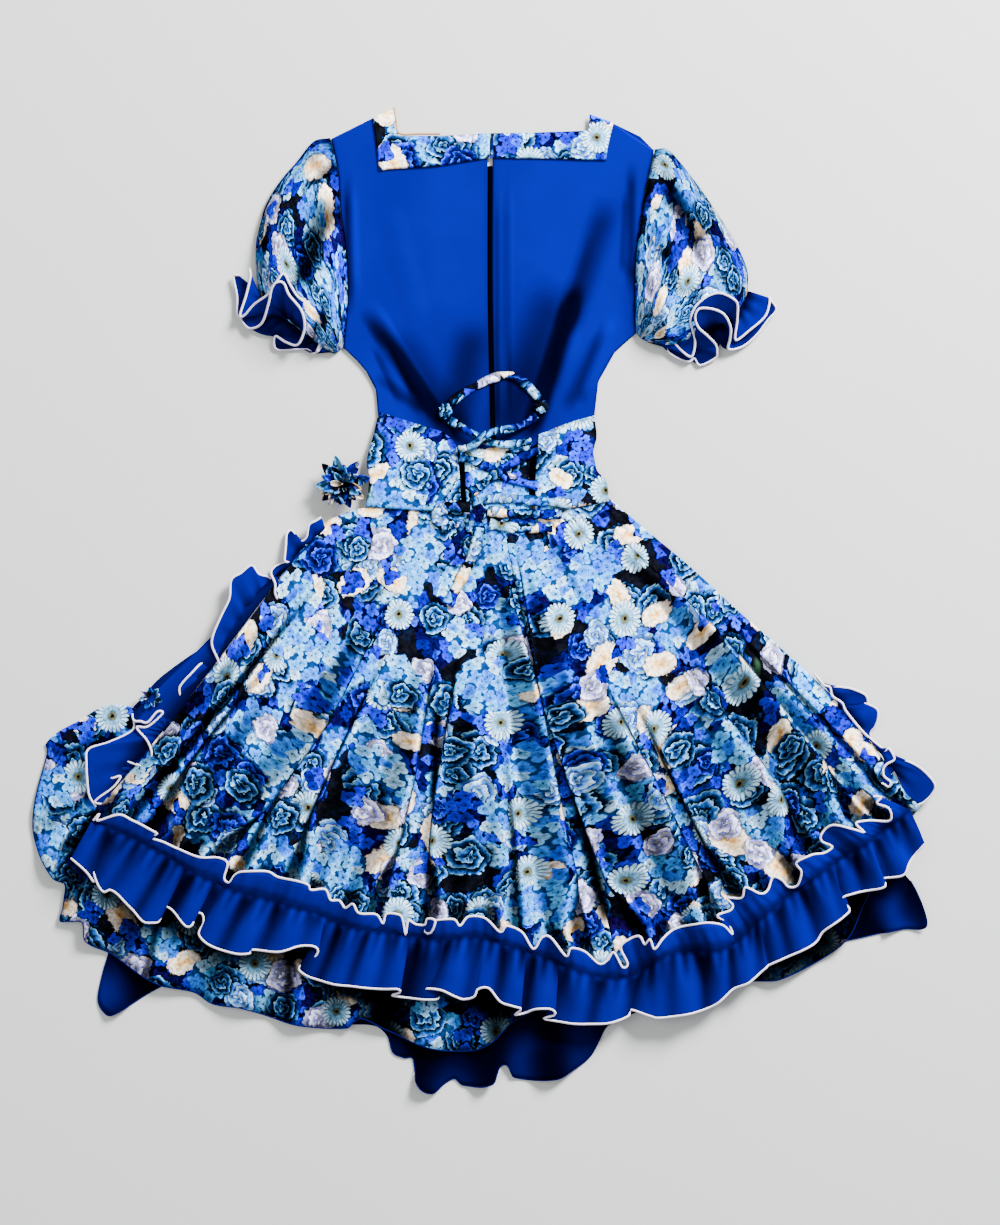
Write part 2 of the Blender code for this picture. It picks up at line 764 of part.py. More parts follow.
def skirt_backs():
    def left_half(radius):
        return over_sides(radius)[0], seam_angle(radius) - math.degrees(SEAM_HALF / radius)

    def right_half(radius):
        return seam_angle(radius) + math.degrees(SEAM_HALF / radius), over_sides(radius)[1]

    fan("skirt_back_left", left_half, waist_radius, over_hem, skirt_top, 44, even(SKIRT_ROWS), FLORAL)
    fan("skirt_back_right", right_half, waist_radius, over_hem, skirt_top, 30, even(SKIRT_ROWS), FLORAL)


def below_waist(angle):
    """Top edge of the layers that the overskirt hides."""
    return waist_radius(angle) + 8.0


def hidden_layers():
    hem = lambda angle: HIDDEN_HEM
    sides = lambda radius: (HIDDEN_LEFT, HIDDEN_RIGHT)
    fan("skirt_front", over_sides, below_waist, hem, lambda a, r: 0.0, 20, even(2), FLORAL)
    fan("middle_tier_front", sides, below_waist, hem, lambda a, r: TIER_FRONT * PITCH, 14, even(1), FLORAL)
    fan("under_skirt_front", sides, below_waist, hem, lambda a, r: UNDER_FRONT * PITCH, 14, even(1), BLUE)
    fan("under_skirt_back", under_sides, below_waist, lambda a: UNDER_SEAM - 0.4,
        lambda a, r: UNDER_BACK * PITCH, 40, even(1), BLUE)


def under_sides(radius):
    return UNDER_LEFT, UNDER_RIGHT - 0.5


def tier_back():
    def height(angle, radius):
        grow = ease((radius - over_hem(angle) - 12.0) / 45.0)
        phase = waved((angle - TIER_SIDES[-2].left) / 95.0, TIER_WAVES)
        return stack(TIER_BACK, angle, radius) + TIER_RISE * grow * bump(phase)

    fan("middle_tier_back", lambda r: (side(TIER_SIDES, "left")(r), side(TIER_SIDES, "right")(r)),
        below_waist, lambda angle: layer_edge(TIER_BACK, angle), height, 46, TIER_ROWS, FLORAL)


def under_ruffle():
    def height(angle, radius):
        past = ease((radius - layer_edge(TIER_BACK, angle) - 36.0) / 10.0)
        phase = waved((angle - UNDER_LEFT) / 78.0, UNDER_WAVES, 0.3)
        return stack(UNDER_BACK, angle, radius) + UNDER_RISE * past * bump(phase)

    fan("under_ruffle", under_sides, lambda angle: UNDER_SEAM, lambda angle: layer_edge(UNDER_BACK, angle),
        height, 40, even(4), BLUE)


def hem_ruffle():
    waves = 27
    first, last = -43.0, 46.0
    rows = 5

    def place(u, v):
        phase = waved(u, waves, 0.2)
        angle = mix(first, last, u)
        header = curve_value(OVERSKIRT_HEM, angle, "header")
        outer = curve_value(OVERSKIRT_HEM, angle, "outer")
        gather = header + GATHER
        step = v * rows
        size = 0.8 + 0.3 * math.sin(23.0 * u + 0.5)
        if step <= 1:
            radius = mix(header + 5.0 * (bump(phase + 0.35) - 0.5), gather, step)
            wave = 5.0 * (1 - step) * bump(phase + 0.5)
            out = 0.0
        else:
            out = (step - 1) / (rows - 1)
            radius = mix(gather, outer, out)
            wave = 13.0 * size * out ** 1.2 * bump(phase)
        slide = 3.2 * out * math.sin(2 * math.pi * phase) * ease(u / 0.03) * ease((1 - u) / 0.03)
        angle += math.degrees(slide / radius)
        settle = 1 - 0.7 * ease((radius - gather - 6.0) / 50.0)
        folds = skirt_lift(angle, min(radius, gather + UNDER_GATHER)) * settle
        clear = PITCH + 1.6 + 4.0 * ease((radius - gather - UNDER_GATHER) / 50.0)
        spot = polar(angle, radius)
        return Vector((spot.x, spot.y, stack(SKIRT_BACK, angle, radius) + folds + clear + wave))

    sheet("hem_ruffle", place, waves * 5, rows, BLUE)


SideRuffle = namedtuple("SideRuffle", "name side start end outer waves rise")
SIDE_RUFFLES = [
    SideRuffle("side_ruffle_left", "left", 236, 626,
               [(-202, 92), (-225, 82), (-227, 48), (-248, 37), (-286, 26), (-308, -38), (-345, -82),
                (-400, -125), (-450, -168), (-453, -200), (-447, -226)], 7, 9.0),
    SideRuffle("side_ruffle_right", "right", 510, 634,
               [(412, -94), (442, -108), (455, -124), (454, -150), (472, -178), (503, -190), (517, -206),
                (508, -221), (492, -224)], 4, 9.0),
]
ROOT_GAP = 1.3


def overskirt_edge(column):
    """Side edge of the overskirt's back, as straight runs between its rows."""
    places = []
    for k in range(SKIRT_ROWS + 1):
        radius = 300.0
        for _ in range(4):
            angle = curve_value(OVERSKIRT_SIDES, radius, column)
            radius = mix(waist_radius(angle), over_hem(angle), k / SKIRT_ROWS)
        places.append(polar(angle, radius))
    return places


def edge_at(places, radius):
    """Point of an edge's straight runs at a radius from the waist."""
    for near, far in zip(places, places[1:]):
        inner, outer = (near - WAIST).length, (far - WAIST).length
        if radius <= outer:
            return near.lerp(far, (radius - inner) / (outer - inner))
    return places[-1]


def side_ruffles():
    for row in SIDE_RUFFLES:
        places = overskirt_edge(row.side)
        outward = -ROOT_GAP if row.side == "left" else ROOT_GAP

        def root(u):
            spot = edge_at(places, mix(row.start, row.end, u))
            turn = math.radians(to_polar(spot)[0])
            return spot + outward * Vector((math.cos(turn), math.sin(turn)))

        def base(spot, u, v):
            return stack(SKIRT_BACK, *to_polar(spot)) + 5.5 * ease(v / 0.6)

        frill(row.name, root, line(row.outer), base, row.waves, row.rise, 2.0, row.waves * 4, 3)


# Fabric flowers

Flower = namedtuple("Flower", "name x y petals reach core base lift tilt")
FLOWERS = [
    Flower("hip_flower_outer", -157, 134, 8, 31, 13, 7.8, 5.0, 0.0),
    Flower("hip_flower_inner", -157, 134, 6, 20, 8, 9.6, 5.0, 0.5),
    Flower("side_flower", -379, -111, 6, 15, 6, 4.2, 7.5, 0.3),
]


def flowers():
    for flower in FLOWERS:
        def place(u, v):
            turn = 2 * math.pi * u
            point = abs(math.cos(flower.petals * turn / 2 + flower.tilt)) ** 0.8
            reach = mix(flower.core, flower.reach, point)
            radius = mix(1.5, reach, v)
            lift = flower.base + flower.lift * v * v * (0.4 + 0.6 * point)
            return Vector((flower.x + radius * math.cos(turn), flower.y + radius * math.sin(turn), lift))

        disc = sheet(flower.name, place, flower.petals * 4, 2, FLORAL)
        weld = disc.modifiers.new("join", "WELD")
        weld.merge_threshold = 0.00001
        disc.modifiers.move(1, 0)


for leftover in list(bpy.data.objects):
    bpy.data.objects.remove(leftover)
DRESS = bpy.data.collections.new("cueca_dress")
bpy.context.scene.collection.children.link(DRESS)

bodice_front()
bodice_back_left()
bodice_back_right()
neck_bands()
zip_strip()
waist_pieces()
ties()
sleeves()
cuff_ruffles()
hidden_layers()
tier_back()
under_ruffle()
skirt_backs()
hem_ruffle()
side_ruffles()
flowers()
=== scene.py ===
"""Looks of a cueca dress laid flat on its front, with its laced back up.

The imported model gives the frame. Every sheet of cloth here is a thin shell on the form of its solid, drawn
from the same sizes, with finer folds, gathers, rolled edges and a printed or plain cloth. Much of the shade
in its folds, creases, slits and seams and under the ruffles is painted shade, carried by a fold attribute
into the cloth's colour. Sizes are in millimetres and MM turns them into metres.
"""

import math
from collections import namedtuple

import bmesh
import bpy
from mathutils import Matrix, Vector, noise


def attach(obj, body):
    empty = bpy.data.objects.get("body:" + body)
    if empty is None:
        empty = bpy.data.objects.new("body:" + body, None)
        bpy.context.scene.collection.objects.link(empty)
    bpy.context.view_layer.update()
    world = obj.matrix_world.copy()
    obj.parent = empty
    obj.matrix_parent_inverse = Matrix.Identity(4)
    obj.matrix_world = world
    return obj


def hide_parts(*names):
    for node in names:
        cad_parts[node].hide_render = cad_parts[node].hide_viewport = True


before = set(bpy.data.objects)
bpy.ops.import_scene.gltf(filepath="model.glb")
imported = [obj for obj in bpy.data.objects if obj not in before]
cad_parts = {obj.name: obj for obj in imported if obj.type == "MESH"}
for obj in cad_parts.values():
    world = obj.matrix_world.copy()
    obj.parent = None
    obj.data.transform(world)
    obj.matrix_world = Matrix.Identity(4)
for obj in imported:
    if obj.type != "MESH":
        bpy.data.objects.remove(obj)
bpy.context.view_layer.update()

# Cloth
MM = 0.001
WALL = 1.2
GAP = 0.3
PITCH = WALL + GAP
THIN = 1.0
EDGE = 1.35

# Centre of the circle skirts. Angles are from straight down, + to the right.
WAIST = Vector((5.0, 231.0))

# Layers of the skirt, counted up from the surface
SKIRT_FRONT, TIER_FRONT, UNDER_FRONT, UNDER_BACK, TIER_BACK, SKIRT_BACK = range(6)
BODICE_LEVEL = PITCH
WAIST_LEVEL = 2 * PITCH + 0.4


# Curves and tables

def ease(t):
    """Smooth step from 0 to 1."""
    t = min(max(t, 0.0), 1.0)
    return t * t * (3.0 - 2.0 * t)


def mix(a, b, t):
    return a + (b - a) * t


def curve_value(rows, x, column):
    """Smooth reading of one column of a table at x, which is the table's first column."""
    first = [row[0] for row in rows]
    value = [getattr(row, column) for row in rows]
    x = min(max(x, first[0]), first[-1])
    last = len(rows) - 1
    i = max(k for k in range(last) if first[k] <= x or k == 0)
    span = first[i + 1] - first[i]
    t = (x - first[i]) / span

    def slope(k):
        low, high = max(k - 1, 0), min(k + 1, last)
        return (value[high] - value[low]) / (first[high] - first[low])

    h1 = 2 * t ** 3 - 3 * t ** 2 + 1
    h2 = t ** 3 - 2 * t ** 2 + t
    h3 = t ** 3 - t ** 2
    return h1 * value[i] + h2 * span * slope(i) + (1 - h1) * value[i + 1] + h3 * span * slope(i + 1)


def found(rising, want):
    """Where a value lies in a rising list: the number of its step, and the part of that step."""
    low, high = 0, len(rising) - 1
    while high - low > 1:
        middle = (low + high) // 2
        if rising[middle] < want:
            low = middle
        else:
            high = middle
    part = (want - rising[low]) / max(rising[high] - rising[low], 1e-9)
    return low, min(max(part, 0.0), 1.0)


def line(points, smooth=True, steps=10):
    """Curve through the points; the result gives the place at a share from 0 to 1 of its length."""
    knots = [Vector(p) for p in points]
    if smooth and len(knots) > 2:
        ends = [2 * knots[0] - knots[1]] + knots + [2 * knots[-1] - knots[-2]]
        places = []
        for a, b, c, d in zip(ends, ends[1:], ends[2:], ends[3:]):
            for k in range(steps):
                t = k / steps
                places.append(0.5 * ((2 * b) + (c - a) * t + (2 * a - 5 * b + 4 * c - d) * t * t
                                     + (3 * b - a - 3 * c + d) * t ** 3))
        places.append(knots[-1])
    else:
        places = knots
    reach = [0.0]
    for p, q in zip(places, places[1:]):
        reach.append(reach[-1] + (q - p).xy.length)

    def at(t):
        low, part = found(reach, min(max(t, 0.0), 1.0) * reach[-1])
        return places[low].lerp(places[low + 1], part)

    return at


def joined(*edges):
    """One edge that runs along smooth curves in turn, with its corners kept."""
    return line([edge(k / 16) for edge in edges for k in range(17)], smooth=False)


def patch(bottom, top, left, right):
    """Flat surface between four edge curves; bottom and top run left to right, the others run up."""
    corners = (bottom(0), bottom(1), top(0), top(1))

    def at(u, v):
        low, high, near, far = bottom(u), top(u), left(v), right(v)
        ruled = low.lerp(high, v) + near.lerp(far, u)
        return ruled - corners[0].lerp(corners[1], u).lerp(corners[2].lerp(corners[3], u), v)

    return at


def polar(angle, radius):
    """Place in the plane at an angle in degrees and a radius from the waist."""
    turn = math.radians(angle)
    return WAIST + radius * Vector((math.sin(turn), -math.cos(turn)))


def to_polar(place):
    away = place - WAIST
    return math.degrees(math.atan2(away.x, -away.y)), away.length


# Shader nodes

def colour(red, green, blue):
    """Base colour that looks like a screen colour, given from 0 to 255, in this light and view."""
    def base(c):
        c /= 255.0
        c = c / 12.92 if c <= 0.04045 else ((c + 0.055) / 1.055) ** 2.4
        return c ** min(1.3 + 2.1 * c, 2.4)

    red, green, blue = base(red), base(green), base(blue)
    return (red, max(green - 0.04 * blue, 0.0), blue, 1.0)


# Spread of the painted shade that the fold attribute carries
PAINTED_SHADE_POWER = 1.9


class Cloth:
    """Material with a Principled shader and short calls that add nodes to it and give their outputs."""

    def __init__(self, name, rough=0.8):
        self.material = bpy.data.materials.new(name)
        self.material.use_nodes = True
        self.tree = self.material.node_tree
        self.shader = self.tree.nodes["Principled BSDF"]
        self.shader.inputs["Roughness"].default_value = rough
        self.shader.inputs["Specular IOR Level"].default_value = 0.0

    def put(self, value, socket):
        if isinstance(value, bpy.types.NodeSocket):
            self.tree.links.new(value, socket)
        elif isinstance(value, (int, float)) and hasattr(socket.default_value, "__len__"):
            socket.default_value = [value] * len(socket.default_value)
        else:
            socket.default_value = value

    def add(self, kind, inputs, **settings):
        node = self.tree.nodes.new("ShaderNode" + kind)
        for key, value in settings.items():
            setattr(node, key, value)
        for key, value in inputs.items():
            self.put(value, node.inputs[key])
        return node

    def math(self, operation, a, b=0.0, c=0.0):
        return self.add("Math", {0: a, 1: b, 2: c}, operation=operation).outputs[0]

    def vector(self, operation, a, b=(0, 0, 0)):
        return self.add("VectorMath", {0: a, 1: b}, operation=operation).outputs[0]

    def scaled(self, a, factor):
        return self.add("VectorMath", {0: a, "Scale": factor}, operation="SCALE").outputs[0]

    def blend(self, share, a, b):
        return self.add("Mix", {0: share, 6: a, 7: b}, data_type="RGBA").outputs[2]

    def shade(self, a, factor):
        """Colour a times a number."""
        grey = self.add("CombineColor", {0: factor, 1: factor, 2: factor}).outputs[0]
        return self.add("Mix", {0: 1.0, 6: a, 7: grey}, data_type="RGBA", blend_type="MULTIPLY").outputs[2]

    def step(self, value, low, high):
        """0 below low, 1 above high, or the other way round where high is under low."""
        return self.add("MapRange", {"Value": value, "From Min": low, "From Max": high},
                        interpolation_type="SMOOTHSTEP").outputs[0]

    def ramp(self, value, stops):
        node = self.add("ValToRGB", {0: value})
        band = node.color_ramp
        while len(band.elements) < len(stops):
            band.elements.new(0.5)
        for element, (place, shade) in zip(band.elements, stops):
            element.position = place
            element.color = shade
        return node.outputs[0]

    def noise(self, at, scale, detail=2.0, rough=0.5):
        inputs = {"Vector": at, "Scale": scale, "Detail": detail, "Roughness": rough}
        return self.add("TexNoise", inputs)

    def cells(self, at, scale, jitter=1.0, **settings):
        inputs = {"Vector": at, "Scale": scale, "Randomness": jitter}
        return self.add("TexVoronoi", inputs, voronoi_dimensions="2D", **settings)

    def cloth_place(self):
        return self.add("UVMap", {}, uv_map="cloth").outputs[0]

    def fold(self):
        """Painted shade of folds, creases and slits, read from the fold attribute and spread so that the
        view's tone curve keeps the dark ones dark.
        """
        return self.math("POWER", self.add("Attribute", {}, attribute_name="fold").outputs["Fac"], PAINTED_SHADE_POWER)

    def bump(self, height, depth, strength=1.0):
        node = self.add("Bump", {"Height": height, "Distance": depth, "Strength": strength})
        self.put(node.outputs[0], self.shader.inputs["Normal"])

    def finish(self, shade):
        self.put(shade, self.shader.inputs["Base Color"])
        return self.material


# The print

FULL_TURN = 6.283

Field = namedtuple("Field", "radius turn here size")


def field(c, at, spacing, shift, chance, jitter=0.65):
    """One flower in each cell of a loose grid: distance from its middle, angle, and random numbers."""
    moved = c.vector("ADD", at, (shift, shift * 0.7, 0.0))
    cell = c.cells(moved, 1.0 / spacing, jitter)
    away = c.vector("SUBTRACT", moved, cell.outputs["Position"])
    parts = c.add("SeparateXYZ", {0: away}).outputs
    x, y = parts[0], parts[1]
    radius = c.math("SQRT", c.math("ADD", c.math("MULTIPLY", x, x), c.math("MULTIPLY", y, y)))
    picks = c.add("SeparateColor", {0: cell.outputs["Color"]}).outputs
    turn = c.math("ADD", c.math("ARCTAN2", y, x), c.math("MULTIPLY", picks[0], FULL_TURN))
    here = c.math("LESS_THAN", picks[1], chance)
    return Field(radius, turn, here, picks[2])


def reach_of(c, spot, reach, spread=0.3):
    """Distance from the flower's middle as a share of its own reach."""
    own = c.math("MULTIPLY_ADD", spot.size, reach * spread, reach * (1 - spread / 2))
    return c.math("DIVIDE", spot.radius, own)


def waves(c, turn, count, shift=0.0):
    return c.math("COSINE", c.math("MULTIPLY_ADD", turn, count, shift))


def lay(c, below, spot, share, edge, painted, gloom=0.8):
    """Flower painted over what is below, inside share < 1, with a dark rim of shade round it."""
    rim = c.math("MULTIPLY", c.step(share, 1.22, 0.96), spot.here)
    below = c.blend(c.math("MULTIPLY", rim, gloom), below, NIGHT)
    mask = c.math("MULTIPLY", c.step(share, 1.0, 1.0 - edge), spot.here)
    return c.blend(mask, below, painted)


def rose(c, below, spot, reach, grain, stops, count=3.0):
    """Rose seen from above: uneven rings of petals, each dark at its foot and pale at its rim."""
    share = reach_of(c, spot, reach, 0.45)
    lobes = c.math("MULTIPLY_ADD", waves(c, spot.turn, 5.0, 2.0), 0.07, 1.0)
    lobes = c.math("MULTIPLY_ADD", waves(c, spot.turn, 3.0, 1.3), 0.08, lobes)
    share = c.math("DIVIDE", share, c.math("MULTIPLY_ADD", grain, 0.5, lobes))
    wound = c.math("MULTIPLY_ADD", share, count, c.math("MULTIPLY", spot.turn, 1 / FULL_TURN))
    wound = c.math("MULTIPLY_ADD", waves(c, spot.turn, 3.0, 0.5), 0.20, wound)
    wound = c.math("MULTIPLY_ADD", waves(c, spot.turn, 5.0, 1.0), 0.14, wound)
    wound = c.math("MULTIPLY_ADD", grain, 2.1, wound)
    petal = c.ramp(c.math("FRACT", wound), stops)
    ring = c.math("MULTIPLY_ADD", c.math("FLOOR", wound), 2.4, spot.size)
    arc = waves(c, spot.turn, 2.0, ring)
    petal = c.shade(petal, c.math("MULTIPLY_ADD", c.step(arc, -0.9, 0.5), 0.68, 0.32))
    petal = c.shade(petal, c.math("MULTIPLY_ADD", c.step(share, 0.0, 0.45), 0.45, 0.55))
    return lay(c, below, spot, share, 0.06, petal)


def daisy(c, below, spot, reach):
    share = reach_of(c, spot, reach, 0.15)
    petals = c.math("ABSOLUTE", waves(c, spot.turn, 11.0))
    inner = c.math("ABSOLUTE", waves(c, spot.turn, 11.0, 1.57))
    outline = c.math("DIVIDE", share, c.math("MULTIPLY_ADD", c.math("POWER", petals, 0.6), 0.24, 0.78))
    stripes = c.ramp(petals, [(0.0, colour(60, 120, 160)), (0.4, colour(160, 208, 230)),
                              (0.85, colour(222, 242, 248))])
    under = c.ramp(inner, [(0.0, colour(80, 140, 170)), (0.5, colour(180, 218, 234))])
    shade = c.blend(c.step(share, 0.62, 0.52), stripes, under)
    shade = c.blend(c.step(share, 0.42, 0.2), shade, colour(104, 156, 172))
    shade = c.blend(c.step(share, 0.25, 0.21), shade, colour(150, 152, 112))
    shade = c.blend(c.step(share, 0.13, 0.09), shade, colour(30, 26, 32))
    return lay(c, below, spot, outline, 0.06, shade, 0.6)


def cluster(c, below, at, floret, spacing, shift, chance, reach, stops, gap, jitter=0.8):
    """Head of small four-petalled florets; each floret is there or not as a whole."""
    cell = c.cells(at, 1.0 / floret, 0.85)
    middle = cell.outputs["Position"]
    spot = field(c, middle, spacing, shift, chance, jitter)
    share = reach_of(c, spot, reach, 0.5)
    away = c.add("SeparateXYZ", {0: c.vector("SUBTRACT", at, middle)}).outputs
    random = c.add("SeparateColor", {0: cell.outputs["Color"]}).outputs
    turn = c.math("ADD", c.math("ARCTAN2", away[1], away[0]), c.math("MULTIPLY", random[0], FULL_TURN))
    petals = c.math("ABSOLUTE", waves(c, turn, 2.0))
    span = c.math("DIVIDE", cell.outputs["Distance"], c.math("MULTIPLY_ADD", petals, 0.34, 0.40))
    shade = c.ramp(random[1], stops)
    shade = c.shade(shade, c.math("MULTIPLY_ADD", c.step(span, 0.0, 0.9), 0.45, 0.55))
    shade = c.blend(c.step(span, 0.86, 1.06), shade, gap)
    shade = c.blend(c.step(span, 0.16, 0.1), shade, gap)
    mask = c.math("MULTIPLY", c.math("LESS_THAN", share, 1.0), spot.here)
    return c.blend(mask, below, shade)


NIGHT = colour(14, 17, 26)
SKY = [(0.0, colour(44, 160, 244)), (0.3, colour(88, 202, 253)), (0.65, colour(146, 226, 255)),
       (1.0, colour(220, 245, 255))]
SKY_GAP = colour(14, 92, 164)


def floral(name, dim=1.0):
    """Printed cloth: roses, daisies, hydrangeas and small blue flowers close together on near black."""
    c = Cloth(name, 0.75)
    flat = c.cloth_place()
    rough = c.noise(flat, 140.0, 2.0)
    at = c.vector("ADD", flat, c.scaled(c.vector("SUBTRACT", rough.outputs[1], (0.5, 0.5, 0.5)), 0.0045))
    grain = c.math("SUBTRACT", c.noise(flat, 190.0, 2.0).outputs[0], 0.5)

    shade = c.ramp(c.noise(flat, 75.0, 3.0).outputs[0],
                   [(0.35, NIGHT), (0.55, colour(30, 32, 40)), (0.72, colour(20, 40, 78))])
    shade = cluster(c, shade, at, 0.0120, 0.066, 0.31, 0.85, 0.034,
                    [(0.0, colour(34, 14, 88)), (0.28, colour(20, 18, 116)), (0.45, colour(2, 36, 190)),
                     (0.76, colour(4, 74, 232)), (0.97, colour(70, 150, 248))], colour(6, 8, 40))
    shade = cluster(c, shade, at, 0.0125, 0.083, 1.31, 0.8, 0.034, SKY, SKY_GAP)

    teal = [(0.0, colour(4, 10, 22)), (0.2, colour(8, 50, 90)), (0.45, colour(30, 124, 196)),
            (0.72, colour(96, 198, 246)), (0.86, colour(206, 244, 255)), (0.92, colour(16, 68, 112)),
            (1.0, colour(4, 9, 19))]
    royal = [(0.0, colour(10, 8, 44)), (0.4, colour(4, 30, 150)), (0.68, colour(8, 84, 232)),
             (0.86, colour(90, 172, 250)), (0.93, colour(8, 18, 80)), (1.0, colour(8, 6, 38))]
    pale = [(0.0, colour(40, 108, 190)), (0.28, colour(120, 200, 250)), (0.65, colour(190, 236, 255)),
            (0.88, colour(240, 250, 255)), (0.94, colour(90, 150, 224)), (1.0, colour(46, 100, 180))]
    lilac = [(0.0, colour(130, 142, 226)), (0.22, colour(214, 220, 255)), (0.6, colour(240, 242, 255)),
             (0.93, colour(255, 255, 255)), (1.0, colour(150, 160, 232))]
    shade = rose(c, shade, field(c, at, 0.056, 0.83, 0.8, 0.75), 0.0225, grain, teal, 2.7)
    shade = rose(c, shade, field(c, at, 0.076, 5.47, 0.6, 0.8), 0.0190, grain, royal, 2.3)
    shade = rose(c, shade, field(c, at, 0.068, 1.47, 0.55, 0.8), 0.0180, grain, pale, 2.6)

    spot = field(c, at, 0.062, 2.11, 0.56, 0.8)
    share = c.math("MULTIPLY_ADD", waves(c, spot.turn, 2.0), 0.22, reach_of(c, spot, 0.0165, 0.5))
    share = c.math("MULTIPLY_ADD", grain, 0.6, share)
    cream = c.ramp(share, [(0.0, colour(244, 214, 160)), (0.3, colour(250, 234, 204)),
                           (0.6, colour(254, 248, 238)), (0.88, colour(246, 240, 232)),
                           (1.0, colour(168, 158, 148))])
    shade = lay(c, shade, spot, share, 0.07, cream)

    shade = rose(c, shade, field(c, at, 0.072, 2.93, 0.52, 0.75), 0.0165, grain, lilac, 2.6)
    shade = cluster(c, shade, at, 0.0110, 0.046, 3.71, 0.5, 0.012,
                    [(0.0, colour(6, 34, 170)), (0.5, colour(6, 80, 236)), (1.0, colour(60, 146, 250))],
                    colour(6, 12, 56))
    shade = daisy(c, shade, field(c, at, 0.088, 4.37, 0.7, 0.6), 0.0185)
    shade = cluster(c, shade, at, 0.0125, 0.104, 6.31, 0.8, 0.026, SKY, SKY_GAP, 1.0)
    shade = rose(c, shade, field(c, at, 0.093, 7.77, 0.6, 0.8), 0.0180, grain, teal, 2.4)

    green = c.step(c.noise(flat, 13.0, 1.0).outputs[0], 0.72, 0.78)
    shade = c.blend(c.math("MULTIPLY", green, 0.3), shade, colour(190, 232, 200))
    brush = c.noise(at, 230.0, 3.0, 0.65).outputs[0]
    shade = c.shade(shade, c.math("MULTIPLY_ADD", c.step(brush, 0.3, 0.68), 0.95, 0.5))

    # Painted shade: the fold attribute darkens the print in folds, creases and slits, scaled by dim
    shade = c.shade(shade, c.math("MULTIPLY", c.fold(), dim))
    c.bump(c.noise(flat, 1400.0, 2.0).outputs[0], 0.0004, 0.3)
    return c.finish(shade)


def crepe(name, light, deep):
    """Plain blue cloth with a fine crepe grain and painted shade in its folds: from the light colour to the
    deep one by the fold attribute.
    """
    c = Cloth(name, 0.8)
    flat = c.cloth_place()
    grain = c.noise(flat, 900.0, 3.0, 0.7).outputs[0]
    soft = c.noise(flat, 14.0, 3.0).outputs[0]
    # Painted shade: deep colour in folds and creases, light colour in the open
    shade = c.blend(c.fold(), deep, light)
    shade = c.shade(shade, c.math("MULTIPLY_ADD", c.math("SUBTRACT", soft, 0.5), 0.3, 1.0))
    shade = c.shade(shade, c.math("MULTIPLY_ADD", c.math("SUBTRACT", grain, 0.5), 0.22, 1.0))
    c.bump(grain, 0.0004, 0.5)
    return c.finish(shade)


def thread(name, shade, turns=700.0):
    """Close overlocked thread round an edge."""
    c = Cloth(name, 0.75)
    place = c.add("TexCoord", {}).outputs["Object"]
    grain = c.noise(place, turns, 2.0).outputs[0]
    mottled = c.shade(c.blend(0.0, shade, shade), c.math("MULTIPLY_ADD", grain, 0.3, 0.84))
    c.bump(grain, 0.0006, 0.6)
    return c.finish(mottled)


# The print, and a darker copy of it for the middle tier as painted shade under the hem ruffle
PRINT = floral("printed_cloth", 1.15)
PRINT_IN_PAINTED_SHADE = floral("printed_cloth_in_painted_shade", 0.9)
BLUE = crepe("blue_crepe", (0.0, 0.0, 0.155, 1.0), (0.0, 0.0, 0.008, 1.0))
BLUE_RUFFLE = crepe("blue_ruffle_crepe", (0.0, 0.0, 0.125, 1.0), (0.0, 0.0, 0.003, 1.0))
# The under flounce's crepe is painted darker than the ruffle's, as the shade it lies in under the skirts
BLUE_UNDER_PAINTED_SHADE = crepe("blue_under_crepe_painted_shade", (0.0, 0.0, 0.075, 1.0), (0.0, 0.0, 0.003, 1.0))
WHITE_EDGE = thread("white_overlock", colour(236, 234, 240))
BLUE_EDGE = thread("blue_overlock", (0.0, 0.0, 0.06, 1.0))
TAPE = thread("neck_tape", colour(214, 190, 150), 300.0)
BLACK_TAPE = thread("zip_tape", colour(10, 12, 24), 500.0)


# Meshes

def sheet(name, place, across, along, material, uv, wall=THIN):
    """Grid of cloth: place(u, v) gives a point in mm and its painted shade, kept in the fold attribute; the
    wall grows upwards.
    """
    grid = bmesh.new()
    bmesh.ops.create_grid(grid, x_segments=across, y_segments=along, size=0.5)
    painted_shades = []
    flats = []
    for vertex in grid.verts:
        u, v = vertex.co.x + 0.5, vertex.co.y + 0.5
        point, tone = place(u, v)
        vertex.co = point * MM
        painted_shades.append(tone)
        flats.append(uv(u, v, point))
    grid.verts.ensure_lookup_table()
    for face in grid.faces:
        face.normal_update()
    if sum(face.normal.z * face.calc_area() for face in grid.faces) < 0:
        bmesh.ops.reverse_faces(grid, faces=grid.faces[:])
    layer = grid.loops.layers.uv.new("cloth")
    for face in grid.faces:
        for loop in face.loops:
            loop[layer].uv = flats[loop.vert.index]
    area = sum(face.calc_area() for face in grid.faces)
    mesh = bpy.data.meshes.new(name)
    grid.to_mesh(mesh)
    grid.free()
    # The fold attribute holds the painted shade, which darkens the cloth's colour
    mesh.attributes.new("fold", "FLOAT", "POINT").data.foreach_set("value", painted_shades)
    mesh.shade_smooth()
    piece = bpy.data.objects.new(name, mesh)
    bpy.context.scene.collection.objects.link(piece)
    mesh.materials.append(material)
    solid = piece.modifiers.new("wall", "SOLIDIFY")
    solid.thickness = wall * MM
    solid.offset = 1.0
    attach(piece, "root")
    return piece, area


